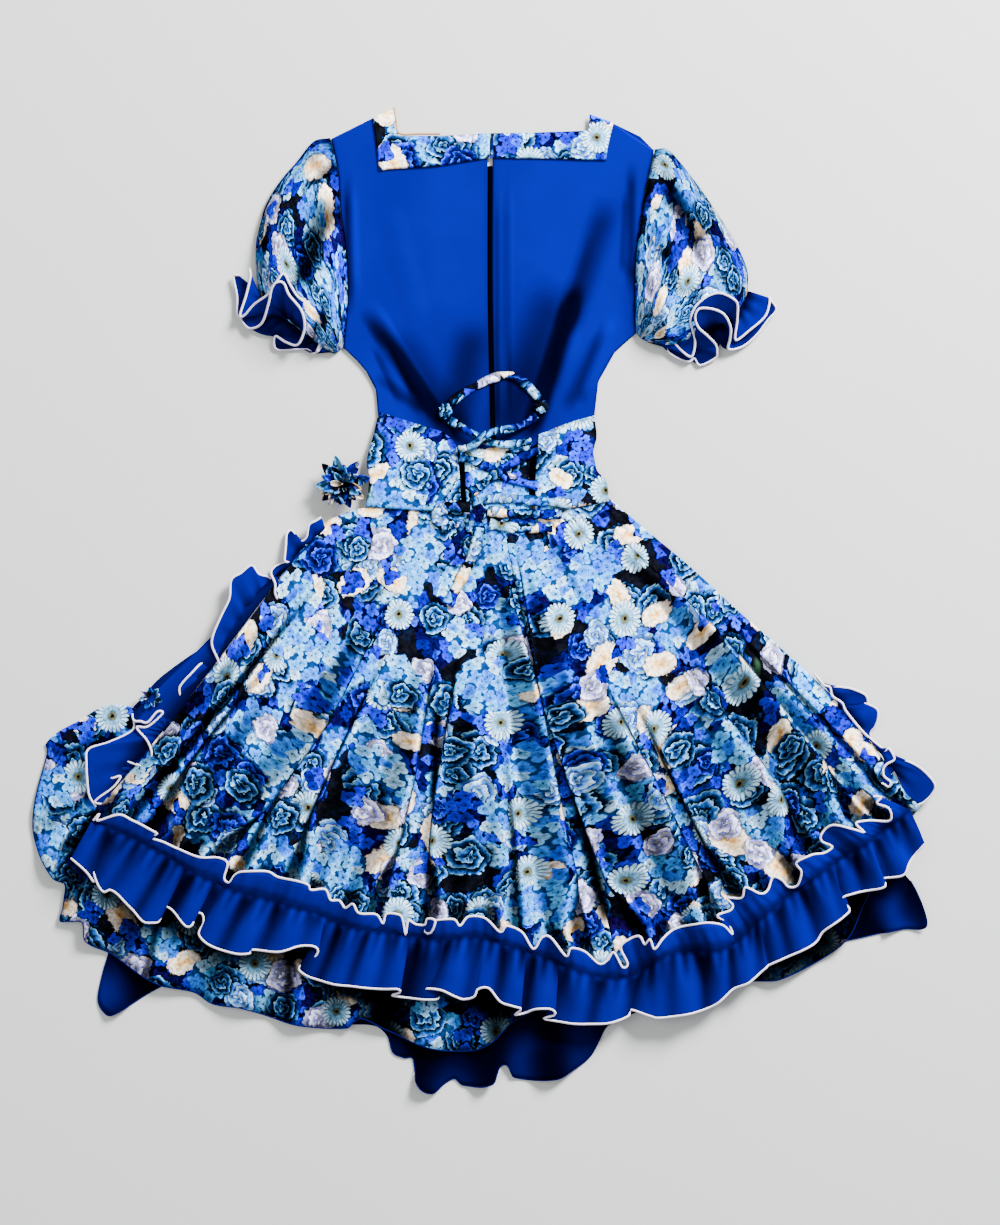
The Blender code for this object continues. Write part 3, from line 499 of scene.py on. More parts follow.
def edging(name, points, material, radius=EDGE):
    """Rolled or overlocked edge along points in mm."""
    data = bpy.data.curves.new(name, "CURVE")
    data.dimensions = "3D"
    data.bevel_depth = radius * MM
    data.bevel_resolution = 1
    data.use_fill_caps = True
    spline = data.splines.new("POLY")
    spline.points.add(len(points) - 1)
    for knot, point in zip(spline.points, points):
        knot.co = (point.x * MM, point.y * MM, max(point.z, radius) * MM, 1.0)
    piece = bpy.data.objects.new(name, data)
    bpy.context.scene.collection.objects.link(piece)
    data.materials.append(material)
    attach(piece, "root")
    return piece


def row_points(place, v, count):
    """Points along one row of a sheet, at the middle of its wall."""
    points = [place(k / count, v)[0] for k in range(count + 1)]
    return [Vector((point.x, point.y, point.z + THIN / 2)) for point in points]


def plan_uv(turn, shift):
    """Print laid on the plan at an angle in degrees, moved by a shift in metres."""
    cos, sin = math.cos(math.radians(turn)), math.sin(math.radians(turn))

    def uv(u, v, point):
        x, y = point.x * MM, point.y * MM
        return (x * cos - y * sin + shift[0], x * sin + y * cos + shift[1])

    return uv


def strip_uv(length, depth):
    return lambda u, v, point: (u * length * MM, v * depth * MM)


def wrinkle(x, y, size, height):
    """Small uneven lift of the cloth."""
    return height * (noise.noise(Vector((x / size, y / size, 3.7))) + 1.0)


# Heights of the layers

Edge = namedtuple("Edge", "radius left right")
OVERSKIRT_SIDES = [
    Edge(170, -46.5, 51.5),
    Edge(225, -52.3, 51.0),
    Edge(300, -49.3, 50.8),
    Edge(378, -46.8, 50.1),
    Edge(450, -45.2, 49.9),
    Edge(540, -43.9, 49.3),
    Edge(660, -43.4, 46.9),
]
TIER_SIDES = [
    Edge(150, -40.0, 42.0),
    Edge(500, -41.0, 43.0),
    Edge(545, -50.0, 43.0),
    Edge(600, -51.8, 43.0),
    Edge(640, -52.0, 43.0),
    Edge(760, -47.0, 42.0),
]
HIDDEN_LEFT = -38.0
HIDDEN_RIGHT = 43.5
HIDDEN_HEM = 580.0

Hem = namedtuple("Hem", "angle header outer")
OVERSKIRT_HEM = [
    Hem(-43.5, 640, 699),
    Hem(-40.0, 628, 703),
    Hem(-36.0, 618, 706),
    Hem(-29.0, 614, 699),
    Hem(-24.0, 605, 692),
    Hem(-18.5, 600, 667),
    Hem(-15.5, 603, 686),
    Hem(-9.3, 600, 687),
    Hem(-5.0, 600, 676),
    Hem(-1.0, 596, 690),
    Hem(4.0, 612, 702),
    Hem(8.0, 634, 718),
    Hem(12.0, 658, 723),
    Hem(15.0, 661, 730),
    Hem(18.0, 648, 745),
    Hem(24.0, 666, 739),
    Hem(29.0, 650, 744),
    Hem(35.5, 644, 744),
    Hem(40.0, 649, 738),
    Hem(46.0, 656, 712),
]
GATHER = 20.0
UNDER_GATHER = 8.0

Reach = namedtuple("Reach", "angle radius")
TIER_HEM = [
    Reach(-52.0, 640),
    Reach(-49.4, 652),
    Reach(-47.8, 690),
    Reach(-46.0, 720),
    Reach(-42.1, 740),
    Reach(-40.7, 736),
    Reach(-39.9, 752),
    Reach(-39.3, 772),
    Reach(-38.6, 766),
    Reach(-37.6, 757),
    Reach(-36.5, 772),
    Reach(-34.1, 768),
    Reach(-29.4, 769),
    Reach(-26.2, 758),
    Reach(-24.4, 761),
    Reach(-21.8, 752),
    Reach(-16.6, 749),
    Reach(-12.4, 738),
    Reach(-11.4, 724),
    Reach(-9.0, 732),
    Reach(-5.2, 746),
    Reach(-1.4, 748),
    Reach(0.5, 738),
    Reach(2.4, 716),
    Reach(6.0, 700),
    Reach(18.0, 715),
    Reach(24.5, 734),
    Reach(27.0, 746),
    Reach(33.6, 746),
    Reach(38.0, 717),
    Reach(45.0, 690),
]
UNDER_HEM = [
    Reach(-37.0, 750),
    Reach(-34.4, 766),
    Reach(-33.8, 789),
    Reach(-32.9, 820),
    Reach(-31.9, 829),
    Reach(-31.2, 826),
    Reach(-29.5, 782),
    Reach(-27.6, 748),
    Reach(-25.0, 735),
    Reach(-13.0, 735),
    Reach(-10.0, 730),
    Reach(-8.7, 740),
    Reach(-8.1, 757),
    Reach(-7.0, 762),
    Reach(-6.2, 763),
    Reach(-5.8, 788),
    Reach(-4.4, 799),
    Reach(-3.4, 787),
    Reach(-2.6, 781),
    Reach(-1.9, 788),
    Reach(0.7, 785),
    Reach(1.2, 768),
    Reach(1.9, 765),
    Reach(2.4, 779),
    Reach(6.0, 784),
    Reach(7.4, 777),
    Reach(9.1, 764),
    Reach(11.2, 732),
    Reach(20.0, 720),
    Reach(31.0, 728),
    Reach(33.9, 748),
    Reach(36.4, 762),
    Reach(38.4, 776),
    Reach(39.9, 789),
    Reach(40.8, 768),
    Reach(42.0, 715),
]
UNDER_SEAM = 640.0
UNDER_LEFT = -36.5
UNDER_RIGHT = 42.0
HEM_MARGIN = 60.0
HEM_DROP = 120.0
SIDE_MARGIN = 26.0
SIDE_DROP = 70.0
LOFT = {TIER_BACK: 0.7, SKIRT_BACK: 1.3}
WAIST_SEAM = [
    Reach(-52.8, 222),
    Reach(-50.0, 200),
    Reach(-46.0, 178),
    Reach(-40.0, 163),
    Reach(-20.0, 134),
    Reach(0.0, 126),
    Reach(20.0, 133),
    Reach(40.0, 163),
    Reach(51.5, 180),
]


def waist_radius(angle):
    """Radius of the seam between the waist and the overskirt."""
    return curve_value(WAIST_SEAM, angle, "radius")


def sides_at(rows, radius):
    """Angles of a panel's left and right edges at a radius."""
    return curve_value(rows, radius, "left"), curve_value(rows, radius, "right")


def layer_edge(layer, angle):
    """Radius where a layer of the skirt ends."""
    if layer == TIER_BACK:
        return curve_value(TIER_HEM, angle, "radius")
    if layer == UNDER_BACK:
        return curve_value(UNDER_HEM, angle, "radius")
    return HIDDEN_HEM


def layer_span(layer, radius):
    """Angles between which a layer of the skirt lies, at a radius."""
    if layer == TIER_BACK:
        return sides_at(TIER_SIDES, radius)
    if layer == UNDER_BACK:
        return HIDDEN_LEFT, UNDER_RIGHT
    if layer == SKIRT_FRONT:
        return sides_at(OVERSKIRT_SIDES, radius)
    return HIDDEN_LEFT, HIDDEN_RIGHT


def stack(layer, angle, radius):
    """Height of a layer over the ones below it; it sinks to the surface past their edges."""
    height = LOFT.get(layer, 0.0)
    for below in range(layer):
        left, right = layer_span(below, radius)
        past_hem = (radius - layer_edge(below, angle) - HEM_MARGIN) / HEM_DROP
        past_left = (math.radians(left - angle) * radius - SIDE_MARGIN) / SIDE_DROP
        past_right = (math.radians(angle - right) * radius - SIDE_MARGIN) / SIDE_DROP
        height += PITCH * (1 - ease(past_hem)) * (1 - ease(past_left)) * (1 - ease(past_right))
    return height


Fold = namedtuple("Fold", "waist_angle hem_angle start height half_width")
SKIRT_FOLDS = [
    Fold(-44.0, -41.6, 230, 6.0, 2.3),
    Fold(-39.0, -36.6, 330, 7.5, 2.4),
    Fold(-25.0, -32.0, 210, 9.5, 2.5),
    Fold(-24.0, -26.5, 380, 6.5, 2.2),
    Fold(-19.0, -20.8, 260, 8.0, 2.7),
    Fold(-12.5, -13.6, 240, 10.0, 2.6),
    Fold(-4.0, -4.6, 250, 9.5, 2.8),
    Fold(1.0, 2.2, 330, 6.5, 2.4),
    Fold(5.0, 8.9, 150, 10.5, 2.4),
    Fold(12.5, 17.3, 150, 10.5, 2.2),
    Fold(20.0, 22.6, 280, 9.5, 2.4),
    Fold(28.0, 28.4, 320, 7.5, 2.5),
    Fold(36.0, 34.6, 300, 8.0, 2.5),
    Fold(43.5, 40.4, 180, 9.0, 2.3),
    Fold(47.0, 44.6, 300, 6.5, 1.9),
]
FOLD_RUN = 230.0

# How far each fold's crest leans sideways over the valley beside it, in mm, + to the right
LEANS = (4, -12, 20, -9, -16, 18, -20, 8, 22, -24, 17, -15, 18, 20, 6)
TAKEN = 1.5
FOLD_INNER = 130.0
FOLD_REACH = 500.0


def fold_share(radius):
    """How far out a radius lies along the folds, from 0 near the waist to 1 at the hem."""
    return min((radius - FOLD_INNER) / FOLD_REACH, 1.0)


def fold_parts(angle, radius):
    """Height of the overskirt's radial folds over its layer, and how far they lean sideways."""
    total = 0.0
    lean = 0.0
    share = fold_share(radius)
    for fold, tip in zip(SKIRT_FOLDS, LEANS):
        away = abs(angle - mix(fold.waist_angle, fold.hem_angle, share)) / fold.half_width
        if away < 1:
            crest = ease((radius - fold.start) / FOLD_RUN) * (1 - away ** 2) ** 2
            total += fold.height * crest
            lean += tip * crest
    return total, lean


def taken_up(angle, radius):
    """Extra angle of cloth that the folds to the left of here take up."""
    total = 0.0
    share = fold_share(radius)
    for fold in SKIRT_FOLDS:
        away = (angle - mix(fold.waist_angle, fold.hem_angle, share)) / fold.half_width
        total += TAKEN * (ease((away + 1.0) / 2.0) - 0.5) * ease((radius - fold.start) / FOLD_RUN)
    return total


def skirt_lift(angle, radius):
    return fold_parts(angle, radius)[0]


def skirt_top(angle, radius):
    """Underside of the overskirt's back."""
    return stack(SKIRT_BACK, angle, radius) + skirt_lift(angle, radius)


Ridge = namedtuple("Ridge", "x0 y0 x1 y1 height half_width")
BODICE_FOLDS = [
    Ridge(-134, 345, -60, 224, 5.0, 15),
    Ridge(-120, 300, -86, 226, 3.5, 11),
    Ridge(144, 440, 82, 244, 6.0, 16),
    Ridge(152, 330, 114, 226, 4.0, 12),
    Ridge(171, 480, 167, 372, 4.0, 9),
    Ridge(-150, 480, -146, 350, 3.0, 9),
    Ridge(31, 490, 31, 262, 1.6, 7),
    Ridge(-112, 470, -66, 300, 1.0, 20),
]


def ridge_sum(rows, x, y):
    """Height of soft folds, each along a straight run and fading out at its ends."""
    total = 0.0
    for row in rows:
        start = Vector((row.x0, row.y0))
        run = Vector((row.x1, row.y1)) - start
        away = Vector((x, y)) - start
        share = away.dot(run) / run.length_squared
        off = abs(away.cross(run)) / run.length / row.half_width
        if 0 < share < 1 and off < 1:
            ends = ease(share / 0.25) * ease((1 - share) / 0.2)
            total += row.height * ends * (1 - off ** 2) ** 2
    return total


def back_rise(y):
    """Climb of the back from the bodice, on one layer, to the top of the stacked skirts."""
    return (SKIRT_BACK * PITCH + LOFT[SKIRT_BACK] - BODICE_LEVEL) * ease((205.0 - y) / 81.0)


def bodice_height(x, y):
    return BODICE_LEVEL + back_rise(y) + ridge_sum(BODICE_FOLDS, x, y)


def waist_height(x, y):
    return WAIST_LEVEL + back_rise(y)


# Bodice

ARMHOLE_LEFT = [(-158, 291), (-153, 346), (-155, 401), (-161, 447), (-164, 493), (-172, 531)]
ARMHOLE_RIGHT = [(178, 308), (177, 335), (178, 388), (183, 432), (190, 476), (199, 518)]
SIDE_LEFT = [(-118, 211), (-121, 243), (-132, 264), (-143, 277), (-158, 291)]
SIDE_RIGHT = [(130, 208), (135, 252), (154, 286), (178, 308)]
ZIP_HALF = 2.6
TAPE_HALF = 5.3
TAPE_LEVEL = 1.3

# Painted shade of the back's creases: soft dark bands, darker along a straight run
BODICE_SHADES = [
    Ridge(-134, 340, -40, 196, 0.75, 14),
    Ridge(-110, 320, -20, 170, 0.40, 34),
    Ridge(-124, 262, -62, 214, 0.40, 10),
    Ridge(150, 470, 96, 300, 0.55, 24),
    Ridge(114, 372, 52, 176, 0.95, 17),
    Ridge(96, 380, 20, 170, 0.45, 40),
    Ridge(141, 316, 96, 214, 0.35, 12),
    Ridge(173, 510, 172, 350, 0.6, 9),
    Ridge(-154, 500, -150, 320, 0.45, 8),
    Ridge(18, 500, 19, 176, 0.35, 5),
    Ridge(31, 505, 33, 200, 0.18, 5),
    Ridge(-6, 330, -34, 176, 0.40, 30),
]


def bodice_tone(x, y):
    # Painted shade from the crease bands, with a random broad variation and a darkening towards the waist
    # near the middle
    dark = ridge_sum(BODICE_SHADES, x, y)
    broad = 0.10 * noise.noise(Vector((x / 70, y / 90, 1.1)))
    low = 0.22 * ease((400 - y) / 170) * (1 - ease((abs(x - 10) - 30) / 90))
    return min(max(0.98 - dark + broad - low, 0.0), 1.0)


def bodice_sheet(name, form, nodes):
    def place(u, v):
        spot = form(u, v)
        height = bodice_height(spot.x, spot.y) + wrinkle(spot.x, spot.y, 26, 0.25)
        # Painted shade along the panel's edges, in the seam grooves
        seam_groove_shade = 0.8 * (1 - ease(min(u, 1 - u) / 0.02))
        return Vector((spot.x, spot.y, height)), bodice_tone(spot.x, spot.y) * (1 - 0.3 * seam_groove_shade)

    piece, area = sheet(name, place, 90, 120, BLUE, plan_uv(0, (0, 0)))
    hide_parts(nodes)
    min(area, 0.0838)


def bodice():
    edge = ZIP_HALF + GAP
    left = patch(line([(-118, 211), (-80, 199), (-45, 187), (-26, 171), (14 - edge, 169)]),
                 line([(-172, 531), (-124, 555), (-113, 503), (-106, 504), (10.4 - edge, 514)], smooth=False),
                 joined(line(SIDE_LEFT), line(ARMHOLE_LEFT)),
                 line([(14 - edge, 169), (10.4 - edge, 346), (10.4 - edge, 514)]))
    right = patch(line([(14 + edge, 169), (56, 176), (68, 186), (80, 192), (130, 208)]),
                  line([(10.4 + edge, 514), (133, 513), (142, 513), (152, 549), (199, 518)], smooth=False),
                  line([(14 + edge, 169), (10.4 + edge, 346), (10.4 + edge, 514)]),
                  joined(line(SIDE_RIGHT), line(ARMHOLE_RIGHT)))
    bodice_sheet("back_panel_left", left, "bodice_back_left")
    bodice_sheet("back_panel_right", right, "bodice_back_right")


def neck_bands():
    left_low = line([(-124, 555), (-120, 524), (-117, 494), (-104, 496), (-53, 499), (9.9, 509)],
                    smooth=False)
    left_high = line([(-99, 565), (-97, 550), (-95, 534), (-80, 534), (-47, 534), (9.9, 537)], smooth=False)
    right_low = line([(10.9, 509), (79, 508), (144, 506), (145, 519), (152, 549)], smooth=False)
    right_high = line([(10.9, 537), (68, 538), (123, 540), (124, 548), (125, 559)], smooth=False)
    for name, low, high, turn in (("left", left_low, left_high, 12), ("right", right_low, right_high, -20)):
        def place(u, v):
            spot = low(u).lerp(high(u), v)
            puff = 0.9 * math.sin(math.pi * v) ** 0.5
            # Painted shade along both long edges of the band
            return Vector((spot.x, spot.y, WAIST_LEVEL + puff)), 1.0 - 0.35 * (1 - ease(min(v, 1 - v) / 0.06))

        piece, area = sheet("neck_trim_" + name, place, 90, 14, PRINT, plan_uv(turn, (0.37, 0.11)))
        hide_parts("neck_band_" + name)
    inner = [(-100, 566.5), (-97.6, 552), (-93.5, 537), (-70, 536.5), (-47, 536.5)]
    path = line([(x, y, WAIST_LEVEL + 0.6) for x, y in inner])
    edging("neck_tape_left", [path(k / 30) for k in range(31)], TAPE, 1.2)


def zip_fastener():
    middle = line([(14, 172), (10.4, 346), (10.4, 500)])

    def place(u, v):
        spot = middle(v)
        return Vector((spot.x + mix(-TAPE_HALF, TAPE_HALF, u), spot.y, TAPE_LEVEL + back_rise(spot.y))), 1.0

    piece, area = sheet("zip_tapes", place, 6, 60, BLACK_TAPE, strip_uv(11, 330), 0.1)
    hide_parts("zip")
    teeth = []
    for k in range(331):
        spot = middle(k / 330)
        swing = 0.45 if k % 2 else -0.45
        teeth.append(Vector((spot.x + swing, spot.y, BODICE_LEVEL + back_rise(spot.y) + 0.9)))
    coil = edging("zip_coil", teeth, BLACK_TAPE, 0.4)


# Waist

WAIST_LEFT_SIDE = [(-132, 108), (-128, 139), (-131, 160), (-125, 185), (-116, 217)]
WAIST_RIGHT_SIDE = [(147, 114), (144, 137), (133, 150), (129, 171), (133, 189), (130, 213)]
WAIST_CREASES = [
    Ridge(-128, 196, -60, 172, 1.2, 7),
    Ridge(-126, 150, -52, 140, 1.5, 8),
    Ridge(-120, 122, -40, 118, 1.2, 7),
    Ridge(128, 190, 84, 176, 1.4, 7),
    Ridge(138, 158, 78, 148, 1.4, 7),
    Ridge(140, 128, 70, 122, 1.4, 7),
    Ridge(-12, 152, 46, 158, 1.0, 6),
]


def waist():
    panels = (
        ("left", patch(line([(-132, 108), (-78, 104), (-22, 102)]),
                       line([(-116, 217), (-79, 205), (-43, 194)]),
                       line(WAIST_LEFT_SIDE), line([(-22, 102), (-25, 151), (-29, 179), (-43, 194)])), 8),
        ("right", patch(line([(62, 103), (105, 107), (147, 114)]), line([(66, 191), (102, 205), (130, 213)]),
                        line([(62, 103), (62, 133), (64, 162), (66, 191)]), line(WAIST_RIGHT_SIDE)), -14),
        ("centre", patch(line([(-16, 102), (20, 101), (55, 103)]), line([(-19, 174), (20, 176), (57, 179)]),
                         line([(-16, 102), (-18, 140), (-19, 174)]),
                         line([(55, 103), (55, 140), (57, 179)])), 3),
    )
    for name, form, turn in panels:
        def place(u, v):
            spot = form(u, v)
            lift = ridge_sum(WAIST_CREASES, spot.x, spot.y) + wrinkle(spot.x, spot.y, 14, 0.3)
            edge = ease(min(u, 1 - u) / 0.08) * ease(min(v, 1 - v) / 0.06)
            # Painted shade towards the panel's edges, where the panels meet
            return Vector((spot.x, spot.y, waist_height(spot.x, spot.y) + lift * edge)), 0.7 + 0.3 * edge

        piece, area = sheet("waistband_" + name, place, 50, 50, PRINT, plan_uv(turn, (0.7, 0.4)))
        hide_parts("waist_back_" + name)


# Lacing and bow

Tie = namedtuple("Tie", "name width points")
TIES = [
    Tie("lace_loop", 9, [(-35, 228, 0), (-19, 239, 0), (-5, 247, 0), (14, 256, 0), (33, 259, 0), (50, 250, 0),
                         (62, 238, 0), (67, 232, 0)]),
    Tie("lace_cross_a", 8, [(-36, 208, 0), (-19, 197, 0), (0, 186, 0), (14, 181, 0), (33, 179, 0),
                            (58, 183, 0)]),
    Tie("lace_cross_b", 8, [(64, 213, 0), (52, 204, 0), (33, 197, 0), (18, 195, 2), (2, 188, 3),
                            (-10, 178, 2), (-26, 173, 0)]),
    Tie("lace_cross_c", 9, [(-24, 165, 0), (-9, 161, 0), (10, 152, 0), (25, 144, 0), (42, 137, 0),
                            (66, 131, 0)]),
    Tie("lace_cross_d", 9, [(66, 172, 0), (50, 166, 0), (36, 158, 2), (19, 147, 3), (4, 135, 2),
                            (-10, 124, 0)]),
    Tie("lace_waist_upper", 10, [(6, 117, 0), (36, 117, 0), (68, 114, 0), (104, 111, 0)]),
    Tie("lace_waist_lower", 10, [(8, 103, 0), (34, 100, 0), (64, 99, 0), (92, 99, 0)]),
    Tie("bow_loop_left", 12, [(-12, 106, 0), (-30, 108, 0), (-47, 104, 0), (-52, 95, 0), (-42, 87, 0),
                              (-26, 90, 0)]),
    Tie("bow_loop_right", 11, [(10, 88, 0), (34, 84, 0), (60, 84, 0), (82, 85, 0)]),
    Tie("bow_tail_short", 13, [(-12, 82, 0), (-22, 72, 0), (-34, 57, 0), (-48, 38, 0)]),
    Tie("bow_tail_long", 12, [(-2, 84, 2.4), (-6, 62, 1.6), (-16, 38, 0), (-38, -4, 0)]),
]
KNOTS = [
    ("knot_left", -41, 218, 7.5, 8.5),
    ("knot_right", 70, 223, 8.0, 7.0),
    ("bow_knot", -2, 100, 8.0, 11.0),
]
KNOT_HEIGHT = 5.0
LACE_GAP = 0.5


def lace_height(x, y):
    """Height of the ties over what they lie on: bodice, then waist, then skirt."""
    bodice_top = bodice_height(x, y)
    skirt = skirt_top(*to_polar(Vector((x, y))))
    waist_top = max(waist_height(x, y), bodice_top, skirt)
    if y > 150:
        below = mix(waist_top, bodice_top, ease((y - 196.0) / 10.0))
    else:
        below = mix(skirt, waist_top, ease((y - 84.0) / 10.0))
    return below + PITCH + LACE_GAP


def ties():
    for number, tie in enumerate(TIES):
        centre = line([Vector(p) for p in tie.points])
        length = sum((Vector(a) - Vector(b)).length for a, b in zip(tie.points, tie.points[1:]))

        def place(u, v):
            here = centre(u)
            ahead = centre(u + 0.02) - centre(u - 0.02)
            normal = Vector((-ahead.y, ahead.x)).normalized()
            width = tie.width * (1.0 + 0.14 * math.sin(17 * u + number) + 0.08 * math.sin(41 * u))
            spot = here.xy + normal * (v - 0.5) * width
            crown = 1.5 * math.sin(math.pi * v) ** 0.6
            pucker = 0.35 * math.sin(u * length / 2.6 + 3 * v) * math.sin(math.pi * v)
            height = lace_height(here.x, here.y) + here.z + crown + pucker
            # Painted shade along the tie's edges, where it curves down
            return Vector((spot.x, spot.y, height)), 0.35 + 0.65 * math.sin(math.pi * v) ** 0.4

        turn = 40 + 53 * number
        piece, area = sheet("tie_" + tie.name, place, max(20, round(length / 2)), 8, PRINT,
                            plan_uv(turn, (0.13 * number, 0.29 * number)))
        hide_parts(tie.name)
    for number, (name, x, y, half_x, half_y) in enumerate(KNOTS):
        knot(name, x, y, half_x, half_y, number)


def knot(name, x, y, half_x, half_y, number):
    """Pulled knot: a ball with the ridges of the wrapped tie."""
    base = lace_height(x, y)
    ball = bmesh.new()
    bmesh.ops.create_uvsphere(ball, u_segments=40, v_segments=24, radius=1.0)
    layer = ball.loops.layers.uv.new("cloth")
    for vertex in ball.verts:
        way = vertex.co.normalized()
        wrap = 1.0 + 0.10 * math.sin(9 * way.x + 5 * way.y + number) + 0.06 * math.sin(17 * way.y + 4 * way.z)
        vertex.co = Vector((x + way.x * half_x * wrap, y + way.y * half_y * wrap,
                            base + KNOT_HEIGHT / 2 * (1 + way.z * wrap))) * MM
    for face in ball.faces:
        for loop in face.loops:
            loop[layer].uv = (loop.vert.co.x * 1.3 + 0.2 * number, loop.vert.co.y * 1.3)
    mesh = bpy.data.meshes.new("tied_" + name)
    ball.to_mesh(mesh)
    ball.free()
    # Even value on the fold attribute, which on most pieces carries painted shade
    mesh.attributes.new("fold", "FLOAT", "POINT").data.foreach_set("value", [0.9] * len(mesh.vertices))
    mesh.shade_smooth()
    piece = bpy.data.objects.new("tied_" + name, mesh)
    bpy.context.scene.collection.objects.link(piece)
    mesh.materials.append(PRINT)
    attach(piece, "root")
    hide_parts(name)


# Sleeves

SEAM_ROOM = 0.9
Sleeve = namedtuple("Sleeve", "name armhole underarm outside cuff creases")
SLEEVES = [
    Sleeve("left",
           [(x - SEAM_ROOM, y) for x, y in ARMHOLE_LEFT],
           [(-158 - SEAM_ROOM, 291), (-163, 288), (-168, 285)],
           [(-172 - SEAM_ROOM, 531), (-192, 527), (-210, 505), (-229, 483), (-246, 455), (-256, 421),
            (-258, 390), (-255, 358)],
           [(-168, 285), (-183, 293), (-210, 314), (-240, 337), (-255, 358)],
           [Ridge(-158, 470, -215, 350, -6.0, 15), Ridge(-160, 505, -206, 470, -4.5, 9),
            Ridge(-162, 380, -190, 312, -3.5, 9), Ridge(-186, 500, -244, 420, 2.5, 12),
            Ridge(-172, 430, -178, 330, 3.0, 10)]),
    Sleeve("right",
           [(x + SEAM_ROOM, y) for x, y in ARMHOLE_RIGHT],
           [(178 + SEAM_ROOM, 308), (185, 302), (192, 298)],
           [(199 + SEAM_ROOM, 518), (214, 518), (231, 500), (253, 471), (274, 440), (293, 409),
            (305, 380), (306, 354)],
           [(192, 298), (220, 295), (258, 309), (292, 332), (306, 354)],
           [Ridge(203, 500, 262, 372, -5.5, 15), Ridge(190, 440, 232, 336, -3.5, 10),
            Ridge(230, 470, 290, 380, -3.0, 10), Ridge(186, 400, 214, 318, 2.5, 9),
            Ridge(222, 452, 276, 364, 3.0, 10)]),
]
# Painted shade of the sleeves' creases: dark bands, some with no trough under them
SLEEVE_SHADES = [
    Ridge(-178, 475, -206, 350, 0.75, 22),
    Ridge(-198, 515, -170, 480, 0.4, 12),
    Ridge(-252, 420, -250, 366, 0.3, 10),
    Ridge(-172, 334, -194, 298, 0.5, 9),
    Ridge(206, 482, 258, 396, 0.8, 18),
    Ridge(234, 366, 262, 318, 0.5, 12),
    Ridge(188, 344, 212, 300, 0.4, 10),
    Ridge(262, 378, 300, 352, 0.45, 12),
]
SLEEVE_EDGE = 4.6
PUFF = 30.0
CUFF_HEIGHT = 12.0
OVER_TOP = 0.6


def sleeve_top(t, w):
    """Height of the puffed upper side, t from armhole to cuff and w from underarm to the outer edge."""
    peak = SLEEVE_EDGE + 1.0
    peak += (CUFF_HEIGHT - peak) * ease((t - 0.5) / 0.5)
    peak += (PUFF - 8.0) * math.sin(math.pi * min(max(t, 0.0), 1.0)) ** 0.8
    crown = max(1 - abs(2 * w - 1) ** 2.4, 0.0) ** 0.8
    gathers = 1 + 0.10 * math.cos(2 * math.pi * 5.5 * w) * math.cos(math.pi * t) ** 2
    return SLEEVE_EDGE + (peak - SLEEVE_EDGE) * crown * gathers


def sleeves():
    for sleeve in SLEEVES:
        form = patch(line(sleeve.underarm), line(sleeve.outside), line(sleeve.armhole), line(sleeve.cuff))

        def place(u, v):
            """u runs round the sleeve, over the top and back under; v runs from armhole to cuff."""
            if u <= OVER_TOP:
                w = 0.5 - 0.5 * math.cos(math.pi * u / OVER_TOP)
                spot = form(v, w)
                height = sleeve_top(v, w) - THIN
                crease = ridge_sum(sleeve.creases, spot.x, spot.y)
                room = math.sin(math.pi * w)
                height += crease * room
                height += 0.9 * math.cos(2 * math.pi * 11 * w + 1.0) * ease(1 - v / 0.35) * room
                height += 1.0 * math.cos(2 * math.pi * 9 * w) * ease((v - 0.6) / 0.4) * room
                # Painted shade: darker in the creases' troughs, towards the sleeve's sides, at the armhole
                # and at the cuff, and in the dark bands
                tone = 1.0 + 0.12 * min(crease, 0.0) - 0.45 * (1 - room) ** 2
                tone -= 0.35 * (1 - ease(v / 0.05)) + 0.3 * ease((v - 0.93) / 0.07)
                tone *= 1 - min(ridge_sum(SLEEVE_SHADES, spot.x, spot.y), 0.88)
                return Vector((spot.x, spot.y, max(height, 1.2))), min(max(tone, 0.12), 1.0)
            w = 1 - (u - OVER_TOP) / (1 - OVER_TOP)
            spot = form(v, w)
            edge = max(height_of_edge(w), 0.2)
            # The underside is painted at half light, as shade
            return Vector((spot.x, spot.y, edge)), 0.5

        def height_of_edge(w):
            return (SLEEVE_EDGE - THIN) * (1 - ease(min(w, 1 - w) / 0.1))

        def uv(u, v, point):
            return (u * 0.42 + 0.19, -v * 0.21 + (0.6 if sleeve.name == "left" else 0.25))

        piece, area = sheet("puff_" + sleeve.name, place, 110, 60, PRINT, uv)
        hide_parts("sleeve_" + sleeve.name)


# Ruffles with their edges placed one by one

Knot = namedtuple("Knot", "share x y z")


def knots(rows):
    return [Knot(*row) for row in rows]


